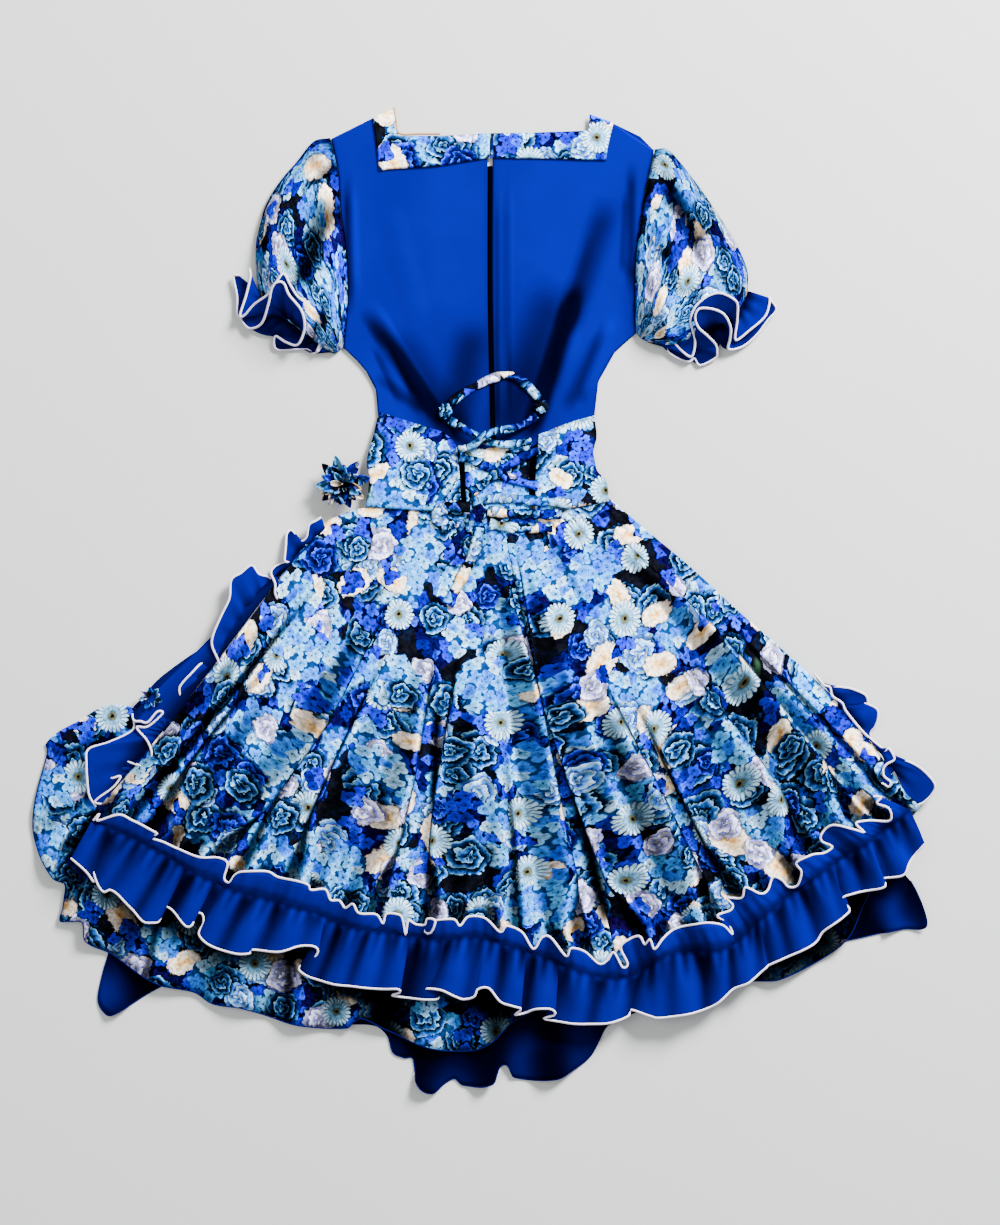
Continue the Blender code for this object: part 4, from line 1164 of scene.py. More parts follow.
def ribbon(name, root, rows, count, along, material, dip=1.0, pleats=0, deep=0.25, trim=WHITE_EDGE):
    """Gathered strip between a root line and an edge through knots, each tied to a share of the root."""
    path = line([Vector((row.x, row.y, row.z)) for row in rows])
    shares = [(0.0, 0.0)]
    total = 0.0
    for near, far in zip(rows, rows[1:]):
        total += math.hypot(far.x - near.x, far.y - near.y)
        shares.append((total, far.share))

    def root_share(u):
        want = u * total
        for (a, first), (b, second) in zip(shares, shares[1:]):
            if want <= b:
                return mix(first, second, (want - a) / max(b - a, 1e-6))
        return shares[-1][1]

    def place(u, v):
        base = root(root_share(u))
        edge = path(u)
        spot = base.lerp(edge, v)
        bow = 0.0
        if pleats:
            bow = 0.9 * math.sin(2 * math.pi * pleats * u + 2 * math.sin(9 * u)) * v * (1 - v) * 4 * (1 - v)
        height = mix(base.z, edge.z, v ** dip) + bow
        # Painted shade: darker towards the root, on one side of each pleat and where the cloth lies low
        facing = 0.5 + 0.5 * math.sin(2 * math.pi * pleats * u + 1.3)
        tone = mix(deep, 1.0, ease(v / 0.5)) * mix(1.0, 0.6 + 0.4 * facing, 1 - v)
        tone *= mix(0.35, 1.0, ease(height / 7.0))
        return Vector((spot.x, spot.y, max(height, 0.1))), tone

    piece, area = sheet(name, place, count, along, material, strip_uv(total, 60))
    rim = edging(name + "_edge", row_points(place, 1.0, count), trim)
    return piece, area, rim, total * MM


CUFF_ROOTS = {
    "left": [(-168.2, 284.3, 4.0), (-183.4, 292.4, 6.0), (-210.5, 313.4, 7.5), (-241.2, 335.6, 6.5),
             (-257.0, 356.8, 4.5)],
    "right": [(191.9, 297, 4.0), (220, 293.6, 6.0), (258.6, 307.6, 7.5), (293, 331, 6.5), (307.4, 356, 4.5)],
}
CUFF_TOPS = {
    "left": [
        (0, -177, 299, 6), (0.04, -188, 286, 7), (0.08, -182, 301, 10), (0.14, -181, 317, 14),
        (0.2, -189, 333, 20), (0.27, -207, 345, 27), (0.33, -216, 358, 30), (0.4, -224, 372, 31),
        (0.47, -232, 364, 30), (0.54, -242, 350, 26), (0.62, -259, 339, 18), (0.7, -271, 327, 12),
        (0.75, -276, 328, 10), (0.82, -269, 350, 11), (0.9, -264, 371, 12), (1, -265, 381, 12)],
    "right": [
        (0, 215, 305, 6), (0.04, 228, 289, 8), (0.08, 240, 280, 9), (0.12, 244, 286, 11),
        (0.18, 245, 298, 14), (0.25, 242, 309, 19), (0.3, 239, 320, 24), (0.36, 242, 331, 28),
        (0.42, 249, 340, 30), (0.5, 261, 348, 31), (0.56, 274, 350, 31), (0.62, 289, 343, 28),
        (0.67, 293, 336, 23), (0.72, 293, 320, 16), (0.77, 292, 299, 10), (0.82, 309, 311, 12),
        (0.87, 322, 322, 12), (0.92, 328, 331, 12), (0.97, 331, 345, 11), (1, 330, 348, 9)],
}
CUFF_UNDERS = {
    "left": [
        (0, -177, 299, 3), (0.05, -191, 285, 2), (0.12, -202, 290, 2), (0.2, -234, 289, 2),
        (0.24, -236, 304, 5), (0.28, -224, 297, 9), (0.33, -210, 293, 15), (0.38, -202, 307, 22),
        (0.42, -201, 319, 28), (0.47, -205, 332, 32), (0.52, -218, 348, 34), (0.56, -224, 361, 34),
        (0.6, -232, 362, 34), (0.64, -238, 355, 31), (0.68, -242, 340, 24), (0.73, -251, 318, 13),
        (0.78, -266, 313, 6), (0.84, -276, 324, 4), (0.88, -280, 331, 4), (0.92, -280, 350, 4),
        (0.96, -284, 372, 4), (1, -278, 374, 6)],
    "right": [
        (0, 195, 314, 3), (0.03, 186, 307, 3), (0.06, 195, 301, 3), (0.09, 211, 298, 3),
        (0.12, 215, 287, 3), (0.14, 226, 279, 3), (0.16, 239, 275, 3), (0.18, 245, 279, 2.5),
        (0.21, 252, 271, 2), (0.25, 269, 279, 3), (0.28, 271, 286, 7), (0.3, 269, 294, 10),
        (0.34, 259, 303, 19), (0.38, 248, 312, 25), (0.42, 244, 323, 29), (0.46, 247, 331, 32),
        (0.5, 254, 333, 33), (0.56, 267, 331, 33), (0.6, 278, 325, 30), (0.64, 285, 312, 23),
        (0.68, 285, 300, 15), (0.72, 284, 289, 8), (0.78, 300, 292, 4), (0.85, 316, 305, 4),
        (0.92, 329, 322, 4), (0.97, 339, 335, 4), (1, 331, 347, 5)],
}
CUFF_FOLDS = {
    "left": [
        (0, -179, 299, 3), (0.15, -192, 286, 2), (0.3, -208, 292, 2), (0.45, -231, 292, 2),
        (0.5, -236, 304, 2), (0.6, -249, 307, 2), (0.75, -262, 313, 2), (1, -274, 326, 2.5)],
    "right": [
        (0, 187, 306, 3), (0.1, 211, 297, 3), (0.2, 222, 285, 3), (0.3, 238, 278, 2.5), (0.38, 246, 280, 2.5),
        (0.45, 253, 273, 2), (0.55, 268, 282, 2), (0.6, 274, 296, 2), (0.66, 284, 291, 2),
        (0.82, 313, 304, 2), (1, 335, 334, 2.5)],
}
CUFF_FOLD_DROP = 1.5


def cuff_ruffles():
    for name in ("left", "right"):
        root = line([Vector(p) for p in CUFF_ROOTS[name]])
        under_root = line([Vector((x, y, z - CUFF_FOLD_DROP)) for x, y, z in CUFF_ROOTS[name]])
        dips = (0.6, 0.4) if name == "left" else (0.9, 0.4)
        for kind, rows, dip, node in (("cuff_flounce_", CUFF_TOPS[name], dips[0], "sleeve_ruffle_" + name),
                                      ("cuff_inner_flounce_", CUFF_UNDERS[name], dips[1],
                                       "sleeve_ruffle_" + name + "_under")):
            piece, area, rim, length = ribbon(kind + name, root, knots(rows), 300, 14, BLUE_RUFFLE, dip, 13)
            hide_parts(node)
        fold, area, rim, length = ribbon("cuff_fold_" + name, under_root, knots(CUFF_FOLDS[name]), 160, 10,
                                         BLUE_RUFFLE, 1.0, 9, 0.3, BLUE_EDGE)


# Skirts

SEAM_START = 8.0
SEAM_END = 13.2
SEAM_HALF = 0.25
TIER_WAVES = 15
TIER_RISE = 6.5
UNDER_WAVES = 13
UNDER_RISE = 9.0


def seam_angle(radius):
    """Angle of the centre-back seam of the overskirt, which leans to the right."""
    return mix(SEAM_START, SEAM_END, min((radius - 120.0) / 400.0, 1.0))


def over_sides(radius):
    return sides_at(OVERSKIRT_SIDES, radius)


def over_hem(angle):
    return curve_value(OVERSKIRT_HEM, angle, "header") + GATHER + UNDER_GATHER


def fan(name, sides, top, hem, height, across, along, material, turn, shift):
    """Panel of a circle skirt between two side angles; height gives a lift, a sideways lean and a painted
    shade.
    """
    def polar_place(u, v):
        angle = mix(*sides(400.0), u)
        for _ in range(4):
            radius = mix(top(angle), hem(angle), v)
            angle = mix(*sides(radius), u)
        return angle, radius

    def uv(u, v, point):
        angle, radius = polar_place(u, v)
        if hem is over_hem:
            angle += taken_up(angle, radius)
        return plan_uv(turn, shift)(u, v, polar(angle, radius))

    def place(u, v):
        angle, radius = polar_place(u, v)
        lift, lean, tone = height(angle, radius)
        spot = polar(angle + math.degrees(lean / radius), radius)
        return Vector((spot.x, spot.y, lift)), tone

    piece, area = sheet(name, place, across, along, material, uv)
    return piece, area, place


# Painted shade of the dark slits between folds: angle and radius at both ends, how dark, and half the width
# in mm
Slit = namedtuple("Slit", "angle0 radius0 angle1 radius1 dark half_width")
SLITS = [
    Slit(-9.2, 330, -6.9, 480, 0.95, 9),
    Slit(8.2, 150, 12.2, 390, 0.6, 3.5),
    Slit(12.0, 350, 13.0, 500, 0.95, 8),
    Slit(12.9, 450, 13.1, 625, 0.95, 12),
    Slit(-29.0, 300, -29.6, 600, 0.35, 12),
    Slit(-16.5, 380, -17.0, 590, 0.4, 10),
    Slit(19.6, 360, 20.0, 620, 0.55, 10),
    Slit(25.4, 420, 25.6, 620, 0.35, 10),
    Slit(31.8, 380, 31.4, 620, 0.35, 9),
    Slit(38.6, 330, 37.6, 620, 0.5, 10),
    Slit(-1.2, 420, -1.2, 590, 0.3, 9),
    Slit(-36.0, 420, -34.4, 600, 0.4, 9),
    Slit(-0.8, 128, 2.5, 210, 0.3, 6),
    Slit(24, 140, 26, 260, 0.35, 7),
    Slit(-30, 150, -29, 280, 0.3, 7),
]


def slit_tone(rows, angle, radius, inner_fade, outer_fade, power):
    """Light left by the painted shade of dark slits, which fade in and out over shares of their length."""
    tone = 1.0
    for slit in rows:
        share = (radius - slit.radius0) / (slit.radius1 - slit.radius0)
        off = abs(math.radians(angle - mix(slit.angle0, slit.angle1, share))) * radius / slit.half_width
        if 0 < share < 1 and off < 1:
            ends = ease(share / inner_fade) * ease((1 - share) / outer_fade)
            tone *= 1 - slit.dark * ends * (1 - off ** 2) ** power
    return tone


SLOPE_STEP = 0.25


def overskirt_height(angle, radius):
    lift, lean = fold_parts(angle, radius)
    header = curve_value(OVERSKIRT_HEM, angle, "header")
    lean *= 1 - ease((radius - header + 90.0) / 70.0)
    past = radius - waist_radius(angle)
    gathers = 0.8 * (1 + math.sin(angle * 2.3 + 0.02 * radius)) * (1 - ease(past / 80)) * ease(past / 12)
    spot = polar(angle, radius)
    small = wrinkle(spot.x, spot.y, 34, 0.35)
    # Painted shade: slits, the sides of the folds (most on the side the crest leans over), under the hem
    # ruffle's header and just below the waist seam
    tone = slit_tone(SLITS, angle, radius, 0.3, 0.12, 1.5)
    slope = skirt_lift(angle + SLOPE_STEP, radius) - skirt_lift(angle - SLOPE_STEP, radius)
    slope /= math.radians(2 * SLOPE_STEP) * radius
    tone *= 1.0 - 0.55 * ease(abs(slope) / 0.55) if slope * lean > 0 else 1.0 - 0.85 * ease(abs(slope) / 0.4)
    tone *= 1.0 - 0.35 * ease((radius - header + 6.0) / 12.0)
    tone *= 0.85 + 0.15 * ease(past / 14)
    return stack(SKIRT_BACK, angle, radius) + lift + gathers + small, lean, tone


def overskirt():
    def left_half(radius):
        return over_sides(radius)[0], seam_angle(radius) - math.degrees(SEAM_HALF / radius)

    def right_half(radius):
        return seam_angle(radius) + math.degrees(SEAM_HALF / radius), over_sides(radius)[1]

    for name, sides, across, turn in (("left", left_half, 230, -12), ("right", right_half, 160, 16)):
        piece, area, _ = fan("overskirt_" + name, sides, waist_radius, over_hem, overskirt_height, across, 90,
                             PRINT, turn, (0.05, 0.9))
        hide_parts("skirt_back_" + name)


def below_waist(angle):
    return waist_radius(angle) + 8.0


def waved(s, count, shift=0.0):
    """Phase of a ruffle's waves along its length, with uneven spacing."""
    return count * s + shift + 0.16 * math.sin(14.5 * s + shift) + 0.09 * math.sin(31.0 * s + 2.0)


def bump(phase):
    """Height of a wave from 0 to 1."""
    return 0.5 - 0.5 * math.cos(2 * math.pi * phase)


# Painted shade of slits between the tier's folds
TIER_SLITS = [
    Slit(-32.6, 690, -30.2, 775, 0.8, 8),
    Slit(-19.6, 660, -17.4, 760, 0.8, 8),
    Slit(-9.8, 650, -9.4, 760, 1.0, 38),
    Slit(-47.5, 560, -50.6, 650, 0.7, 9),
    Slit(-44.2, 620, -46.4, 720, 0.6, 9),
    Slit(-39.9, 690, -40.4, 740, 0.7, 7),
    Slit(0.6, 660, 1.0, 760, 0.8, 20),
    Slit(-37.0, 715, -36.8, 770, 0.6, 6),
]


def tier_height(angle, radius):
    grow = ease((radius - over_hem(angle) - 12.0) / 45.0)
    phase = waved((angle - TIER_SIDES[-2].left) / 95.0, TIER_WAVES)
    cover = curve_value(OVERSKIRT_HEM, angle, "outer")
    # Painted shade: darkest at the hem ruffle's outer edge over the tier, darker in the waves' valleys and in
    # the slits; the left part out from under the ruffle stays light
    tone = mix(0.12, 0.95, ease((radius - cover + 4.0) / 40.0)) * (0.45 + 0.55 * bump(phase) ** 0.7)
    if angle < -43.6:
        tone = 0.95
    tone *= slit_tone(TIER_SLITS, angle, radius, 0.2, 0.1, 1.0)
    return stack(TIER_BACK, angle, radius) + TIER_RISE * grow * bump(phase), 0.0, tone


def middle_tier():
    def tier_sides(radius):
        return sides_at(TIER_SIDES, radius)

    piece, area, place = fan("middle_tier", tier_sides, below_waist, lambda a: layer_edge(TIER_BACK, a),
                             tier_height, 380, 70, PRINT_IN_PAINTED_SHADE, 31, (0.33, 0.62))
    rim = edging("middle_tier_edge", row_points(place, 1.0, 400), BLUE_EDGE, 0.8)
    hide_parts("middle_tier_back")


def under_height(angle, radius):
    past = ease((radius - layer_edge(TIER_BACK, angle) - 36.0) / 10.0)
    phase = waved((angle - UNDER_LEFT) / 78.0, UNDER_WAVES, 0.3)
    beyond = radius - layer_edge(TIER_BACK, angle)
    # Painted shade: darker in the waves' valleys, near the tier's edge over it, and in the middle away from
    # the tips
    tone = (0.15 + 0.85 * bump(phase + 0.5)) * mix(0.3, 1.0, ease(beyond / 40.0))
    tone *= mix(0.72, 1.0, ease((abs(angle - 1.0) - 14.0) / 14.0))
    return stack(UNDER_BACK, angle, radius) + UNDER_RISE * past * bump(phase), 0.0, tone


def under_flounce():
    def under_sides(radius):
        return UNDER_LEFT, UNDER_RIGHT - 0.5

    piece, area, place = fan("under_flounce", under_sides, lambda a: UNDER_SEAM,
                             lambda a: layer_edge(UNDER_BACK, a), under_height, 460, 24, BLUE_UNDER_PAINTED_SHADE,
                             0, (0, 0))
    rim = edging("under_flounce_edge", row_points(place, 1.0, 420), BLUE_EDGE, 0.7)
    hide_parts("under_ruffle")


# Hem ruffle: its header stands up over the overskirt and the rest falls below the gathering stitches.
# Both edges run through points x and y, with how far the cloth rises there over what it lies on.

HEM_FIRST = -43.0
HEM_LAST = 46.0
HEADER_SHARE = 0.2
HEADER_EDGE = [
    (-443, -251, 3), (-436, -243, 5), (-438, -251, 4), (-413, -244, 5), (-398, -251, 5), (-382, -259, 5),
    (-369, -266, 5), (-381, -269, 2), (-363, -275, 3), (-347, -283, 5), (-321, -292, 5), (-301, -293, 4),
    (-290, -300, 4), (-294, -317, 2), (-288, -322, 2), (-281, -313, 4), (-271, -309, 5), (-245, -309, 5),
    (-231, -316, 5), (-208, -320, 4), (-197, -324, 4), (-194, -330, 3), (-178, -330, 4), (-172, -342, 3),
    (-162, -343, 3), (-155, -351, 3), (-146, -346, 4), (-139, -356, 3), (-120, -358, 4), (-112, -369, 3),
    (-108, -358, 4), (-93, -359, 5), (-89, -367, 4), (-86, -382, 3), (-83, -366, 4), (-74, -370, 4),
    (-64, -370, 4), (-61, -363, 5), (-52, -365, 5), (-57, -379, 3), (-64, -378, 2), (-56, -366, 3),
    (-32, -363, 5), (-24, -371, 4), (-14, -361, 5), (5, -363, 4), (22, -378, 3), (30, -371, 4),
    (47, -379, 3), (60, -398, 3), (70, -385, 4), (80, -385, 4), (97, -405, 3), (103, -396, 4),
    (118, -400, 4), (135, -415, 3), (145, -411, 3), (152, -402, 4), (162, -419, 3), (168, -415, 3),
    (160, -397, 3), (168, -388, 4), (181, -383, 4), (187, -392, 3), (193, -386, 4), (198, -397, 3),
    (208, -385, 4), (222, -375, 5), (244, -369, 5), (260, -367, 5), (277, -371, 4), (288, -382, 2),
    (283, -369, 2), (270, -360, 4), (285, -354, 5), (288, -347, 4), (281, -340, 4), (298, -339, 4),
    (302, -327, 5), (319, -334, 5), (328, -330, 4), (334, -316, 5), (344, -319, 5), (352, -327, 4),
    (362, -325, 4), (366, -309, 4), (360, -299, 4), (377, -290, 5), (393, -288, 4), (402, -281, 3),
    (390, -275, 3), (390, -266, 4), (402, -256, 5), (423, -260, 4), (438, -264, 3), (428, -254, 3),
    (443, -251, 5), (467, -251, 3), (466, -237, 4), (452, -231, 5), (457, -224, 4), (448, -223, 4)]
OUTER_EDGE = [
    (-468, -294, 6), (-459, -301, 9), (-450, -310, 10), (-442, -321, 6), (-447, -296, 2), (-439, -321, 5),
    (-431, -332, 9), (-423, -330, 9), (-413, -336, 10), (-399, -351, 12), (-386, -365, 12),
    (-375, -367, 10), (-367, -365, 5), (-363, -350, 2), (-353, -353, 3), (-337, -371, 9),
    (-329, -369, 10), (-327, -358, 4), (-319, -358, 3), (-317, -368, 4), (-322, -381, 6),
    (-307, -394, 10), (-281, -402, 13), (-264, -402, 12), (-261, -398, 10), (-231, -400, 11),
    (-208, -394, 12), (-192, -394, 10), (-186, -399, 7), (-190, -407, 3), (-202, -414, 1),
    (-208, -421, 2), (-195, -430, 5), (-169, -437, 8), (-143, -440, 10), (-116, -443, 10), (-95, -443, 8),
    (-93, -448, 3), (-102, -451, 1), (-82, -454, 3), (-52, -455, 5), (-49, -450, 2), (-63, -443, 7),
    (-45, -444, 10), (-30, -451, 10), (-20, -455, 8), (-8, -452, 9), (-3, -443, 9), (9, -442, 10),
    (22, -457, 11), (36, -462, 10), (46, -466, 8), (39, -473, 3), (51, -471, 4), (63, -466, 9),
    (80, -466, 10), (85, -473, 8), (72, -478, 3), (101, -482, 9), (125, -483, 10), (147, -482, 10),
    (168, -475, 8), (172, -468, 5), (193, -474, 8), (206, -476, 10), (244, -470, 11), (268, -461, 10),
    (288, -444, 5), (306, -436, 9), (324, -421, 9), (332, -415, 4), (365, -400, 10), (383, -390, 8),
    (392, -377, 9), (415, -360, 10), (421, -352, 7), (413, -340, 3), (428, -334, 6), (457, -328, 9),
    (462, -323, 8), (460, -317, 5), (482, -313, 10), (490, -298, 10), (507, -277, 6)]
EDGE_STEPS = 1600
ROOT_TIE = 0.78
DARTS = 62
PLEATS = 29


def gathered_edge(rows):
    """Place on an edge for a share of the gathered root. The root keeps pace with the edge's angle."""
    path = line([Vector(row) for row in rows])
    angles = [to_polar(path(k / EDGE_STEPS).xy)[0] for k in range(EDGE_STEPS + 1)]
    high = []
    for angle in angles:
        high.append(max(angle, high[-1] if high else angle))
    low = []
    for angle in reversed(angles):
        low.append(min(angle, low[-1] if low else angle))
    low.reverse()
    first = (high[0] + low[0]) / 2
    last = (high[-1] + low[-1]) / 2
    reach = []
    for k in range(EDGE_STEPS + 1):
        share = ((high[k] + low[k]) / 2 - first) / (last - first)
        reach.append(ROOT_TIE * share + (1 - ROOT_TIE) * k / EDGE_STEPS)

    def at(u):
        step, part = found(reach, u)
        return path((step + part) / EDGE_STEPS)

    return at


HEADER_AT = gathered_edge(HEADER_EDGE)
OUTER_AT = gathered_edge(OUTER_EDGE)


def hem_place(u, v):
    angle = mix(HEM_FIRST, HEM_LAST, u)
    gather = curve_value(OVERSKIRT_HEM, angle, "header") + GATHER
    root = polar(angle, gather)
    # Uneven streaks and pleat valleys of painted shade
    painted_gather_shade = noise.noise(Vector((u * DARTS, 0.3, 8.1)))
    pleat = bump(waved(u, PLEATS, 0.2))
    painted_valley_shade = (1 - pleat) ** 2.2 * (0.75 + 0.25 * math.sin(61.0 * u + 1.0))
    tuck = bump(waved(u, DARTS * 1.3, 0.4))
    if v <= HEADER_SHARE:
        out = 1 - v / HEADER_SHARE
        edge = HEADER_AT(u)
        rise = edge.z * out + 1.1 * tuck * (1 - out) * out * 4
        # Painted shade of the header: darker at the gathering stitches, in uneven streaks there, and where
        # the header lies low
        tone = mix(0.45, 1.0, ease(out / 0.5)) * (1 - 0.45 * max(painted_gather_shade, 0.0) * (1 - out))
        tone *= mix(0.55, 1.0, ease(edge.z / 4.5))
    else:
        out = (v - HEADER_SHARE) / (1 - HEADER_SHARE)
        edge = OUTER_AT(u)
        pinch = 1 - ease(out / 0.6)
        rise = 0.75 * edge.z * out ** 1.1 + 1.8 * tuck * pinch * ease(out / 0.05)
        rise += 7.0 * pleat * math.sin(math.pi * min(out, 0.7) / 1.4) * mix(1.0, 0.4, out)
        hollow = ease((edge.z + 1.0) / 9.0)
        # Painted shade of the flounce: darker where its edge lies low, in the tucks and streaks near the
        # gathering stitches, in the pleats' valleys and at the stitches
        tone = mix(1.0, mix(0.12, 1.0, hollow), ease(out / 0.35))
        tone *= 1 - pinch * (0.4 * (1 - tuck) + 0.75 * max(painted_gather_shade - 0.1, 0.0))
        tone *= 1 - 0.9 * painted_valley_shade * ease(out / 0.12) * mix(1.0, 0.55, out)
        tone *= mix(0.55, 1.0, ease(out / 0.10))
    spot = root.lerp(edge.xy, out)
    angle, radius = to_polar(spot)
    settle = 1 - 0.7 * ease((radius - gather - 6.0) / 50.0)
    folds = skirt_lift(angle, min(radius, gather + UNDER_GATHER)) * settle
    clear = PITCH + 1.4 + 2.6 * ease((radius - gather - UNDER_GATHER) / 50.0)
    height = stack(SKIRT_BACK, angle, radius) + folds + clear + rise
    return Vector((spot.x, spot.y, height)), min(max(tone, 0.0), 1.0)


def hem_flounce():
    piece, area = sheet("hem_flounce", hem_place, 1300, 26, BLUE_RUFFLE, strip_uv(2100, 105))
    top = edging("hem_flounce_header_edge", row_points(hem_place, 0.0, EDGE_STEPS), WHITE_EDGE)
    low = edging("hem_flounce_edge", row_points(hem_place, 1.0, EDGE_STEPS), WHITE_EDGE)
    stitches = [Vector((p.x, p.y, p.z + 0.5)) for p in row_points(hem_place, HEADER_SHARE, 320)]
    stitches = edging("hem_flounce_stitches", stitches, BLUE_EDGE, 0.35)
    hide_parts("hem_ruffle")


# Side ruffles

SKIRT_ROWS = 6
ROOT_GAP = 1.3
LEFT_SIDE = knots([
    (0, -183, 96, 8), (0.02, -189, 92, 9), (0.04, -197, 87, 9), (0.06, -200, 73, 7),
    (0.07, -208, 69, 4), (0.08, -217, 81, 2), (0.09, -223, 77, 3), (0.11, -224, 62, 6),
    (0.12, -225, 46, 8), (0.13, -220, 45, 6), (0.14, -229, 43, 3), (0.16, -237, 39, 3),
    (0.18, -241, 32, 6), (0.2, -236, 20, 9), (0.22, -236, 9, 9), (0.235, -233, 2, 6),
    (0.245, -241, 25, 3), (0.26, -255, 31, 5), (0.28, -263, 41, 8), (0.3, -275, 32, 10),
    (0.33, -286, 24, 11), (0.36, -288, 3, 12), (0.39, -297, -16, 12), (0.42, -306, -37, 12),
    (0.45, -308, -51, 11), (0.475, -301, -70, 8), (0.49, -311, -69, 4), (0.5, -321, -72, 8),
    (0.52, -330, -81, 10), (0.55, -345, -98, 9), (0.58, -347, -113, 6), (0.62, -374, -121, 2.5),
    (0.68, -398, -128, 2), (0.72, -400, -148, 3), (0.76, -427, -162, 6), (0.8, -450, -170, 9),
    (0.86, -452, -187, 10), (0.9, -451, -209, 9), (0.95, -449, -224, 7), (1, -442, -236, 4)])
LEFT_HEADER = knots([
    (0.7, -400, -129, 6), (0.71, -398, -137, 7), (0.72, -390, -138, 8), (0.73, -382, -139, 9),
    (0.735, -371, -127, 10), (0.74, -365, -129, 9), (0.75, -382, -144, 8), (0.76, -395, -145, 7),
    (0.79, -382, -161, 9), (0.82, -377, -177, 10), (0.85, -382, -189, 10), (0.87, -400, -186, 8),
    (0.89, -415, -180, 6), (0.91, -418, -193, 7), (0.93, -424, -203, 8), (0.935, -413, -201, 9),
    (0.95, -422, -214, 8), (0.97, -440, -227, 6), (0.98, -441, -232, 6), (1, -416, -234, 8)])
LEFT_BAND = knots([(0.46, -311, -50, 2), (0.5, -337, -66, 2.5), (0.56, -369, -90, 2.5),
                   (0.62, -385, -108, 2), (0.7, -399, -123, 1.5)])
RIGHT_SIDE = knots([
    (0, 402, -98, 6), (0.06, 415, -99, 8), (0.12, 426, -101, 9), (0.2, 441, -108, 8),
    (0.26, 443, -118, 5), (0.3, 434, -117, 2), (0.34, 440, -117, 5), (0.4, 454, -124, 9),
    (0.46, 455, -135, 9), (0.52, 452, -144, 8), (0.58, 447, -153, 5), (0.63, 455, -170, 2),
    (0.68, 475, -184, 6), (0.74, 486, -183, 9), (0.8, 500, -189, 11), (0.86, 511, -198, 11),
    (0.92, 520, -210, 11), (0.95, 518, -220, 9), (0.98, 508, -231, 6), (1, 496, -236, 4)])
RIGHT_HEADER = knots([
    (0, 382, -83, 8), (0.1, 393, -96, 9), (0.16, 400, -99, 9), (0.24, 403, -109, 9),
    (0.32, 414, -117, 9), (0.42, 419, -127, 9), (0.6, 440, -152, 8), (0.7, 459, -168, 9),
    (0.74, 463, -172, 10), (0.77, 467, -169, 11), (0.8, 472, -176, 12), (0.83, 473, -182, 12),
    (0.86, 465, -187, 11), (0.89, 461, -193, 10), (0.92, 462, -201, 11), (0.94, 469, -207, 12),
    (0.96, 467, -213, 11), (0.98, 459, -209, 10), (1, 443, -212, 9)])
SideRuffle = namedtuple("SideRuffle", "side start end outer header pleats")
SIDE_RUFFLES = [
    SideRuffle("left", 236, 626, LEFT_SIDE, LEFT_HEADER, 22),
    SideRuffle("right", 500, 634, RIGHT_SIDE, RIGHT_HEADER, 9),
]
FLOUNCE_LIFT = 0.6
HEADER_LIFT = 2.4
BAND_LIFT = -1.0


def overskirt_edge(column):
    """Side edge of the overskirt's back, as straight runs between its rows."""
    places = []
    for k in range(SKIRT_ROWS + 1):
        radius = 300.0
        for _ in range(4):
            angle = curve_value(OVERSKIRT_SIDES, radius, column)
            radius = mix(waist_radius(angle), over_hem(angle), k / SKIRT_ROWS)
        places.append(polar(angle, radius))
    return places


def edge_at(places, radius):
    """Point of an edge's straight runs at a radius from the waist."""
    for near, far in zip(places, places[1:]):
        inner, outer = (near - WAIST).length, (far - WAIST).length
        if radius <= outer:
            return near.lerp(far, (radius - inner) / (outer - inner))
    return places[-1]


def side_ruffles():
    for row in SIDE_RUFFLES:
        places = overskirt_edge(row.side)
        outward = -ROOT_GAP if row.side == "left" else ROOT_GAP

        def root_at(lift):
            """Root line just outside the skirt's edge, lifted off its layer."""
            def root(share):
                spot = edge_at(places, mix(row.start, row.end, share))
                angle, radius = to_polar(spot)
                turn = math.radians(angle)
                spot = spot + outward * Vector((math.cos(turn), math.sin(turn)))
                return Vector((spot.x, spot.y, stack(SKIRT_BACK, angle, radius) + lift))

            return root

        piece, area, rim, length = ribbon("side_flounce_" + row.side, root_at(FLOUNCE_LIFT), row.outer,
                                          420, 16, BLUE_RUFFLE, 1.0, row.pleats)
        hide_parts("side_ruffle_" + row.side)
        header, area, rim, length = ribbon("side_header_" + row.side, root_at(HEADER_LIFT), row.header,
                                           200, 6, BLUE_RUFFLE, 0.7, row.pleats, 0.5)
        if row.side == "left":
            band, area, rim, length = ribbon("side_band_left", root_at(BAND_LIFT), LEFT_BAND, 60, 12,
                                             BLUE_RUFFLE, 1.0, 0, 0.8, BLUE_EDGE)


# Fabric flowers

Bloom = namedtuple("Bloom", "name x y petals inner reach broad base lift turn")
BLOOMS = [
    Bloom("hip_flower_outer", -160, 134, 17, 4, 34, 0.2, 7.8, 6.0, 0.2),
    Bloom("hip_flower_inner", -159, 134, 12, 1, 23, 0.24, 10.4, 8.5, 0.5),
    Bloom("side_flower", -379, -111, 9, 2, 16, 0.24, 4.2, 7.0, 0.3),
]
PETAL_STEPS = 12
PETAL_WALL = 0.6


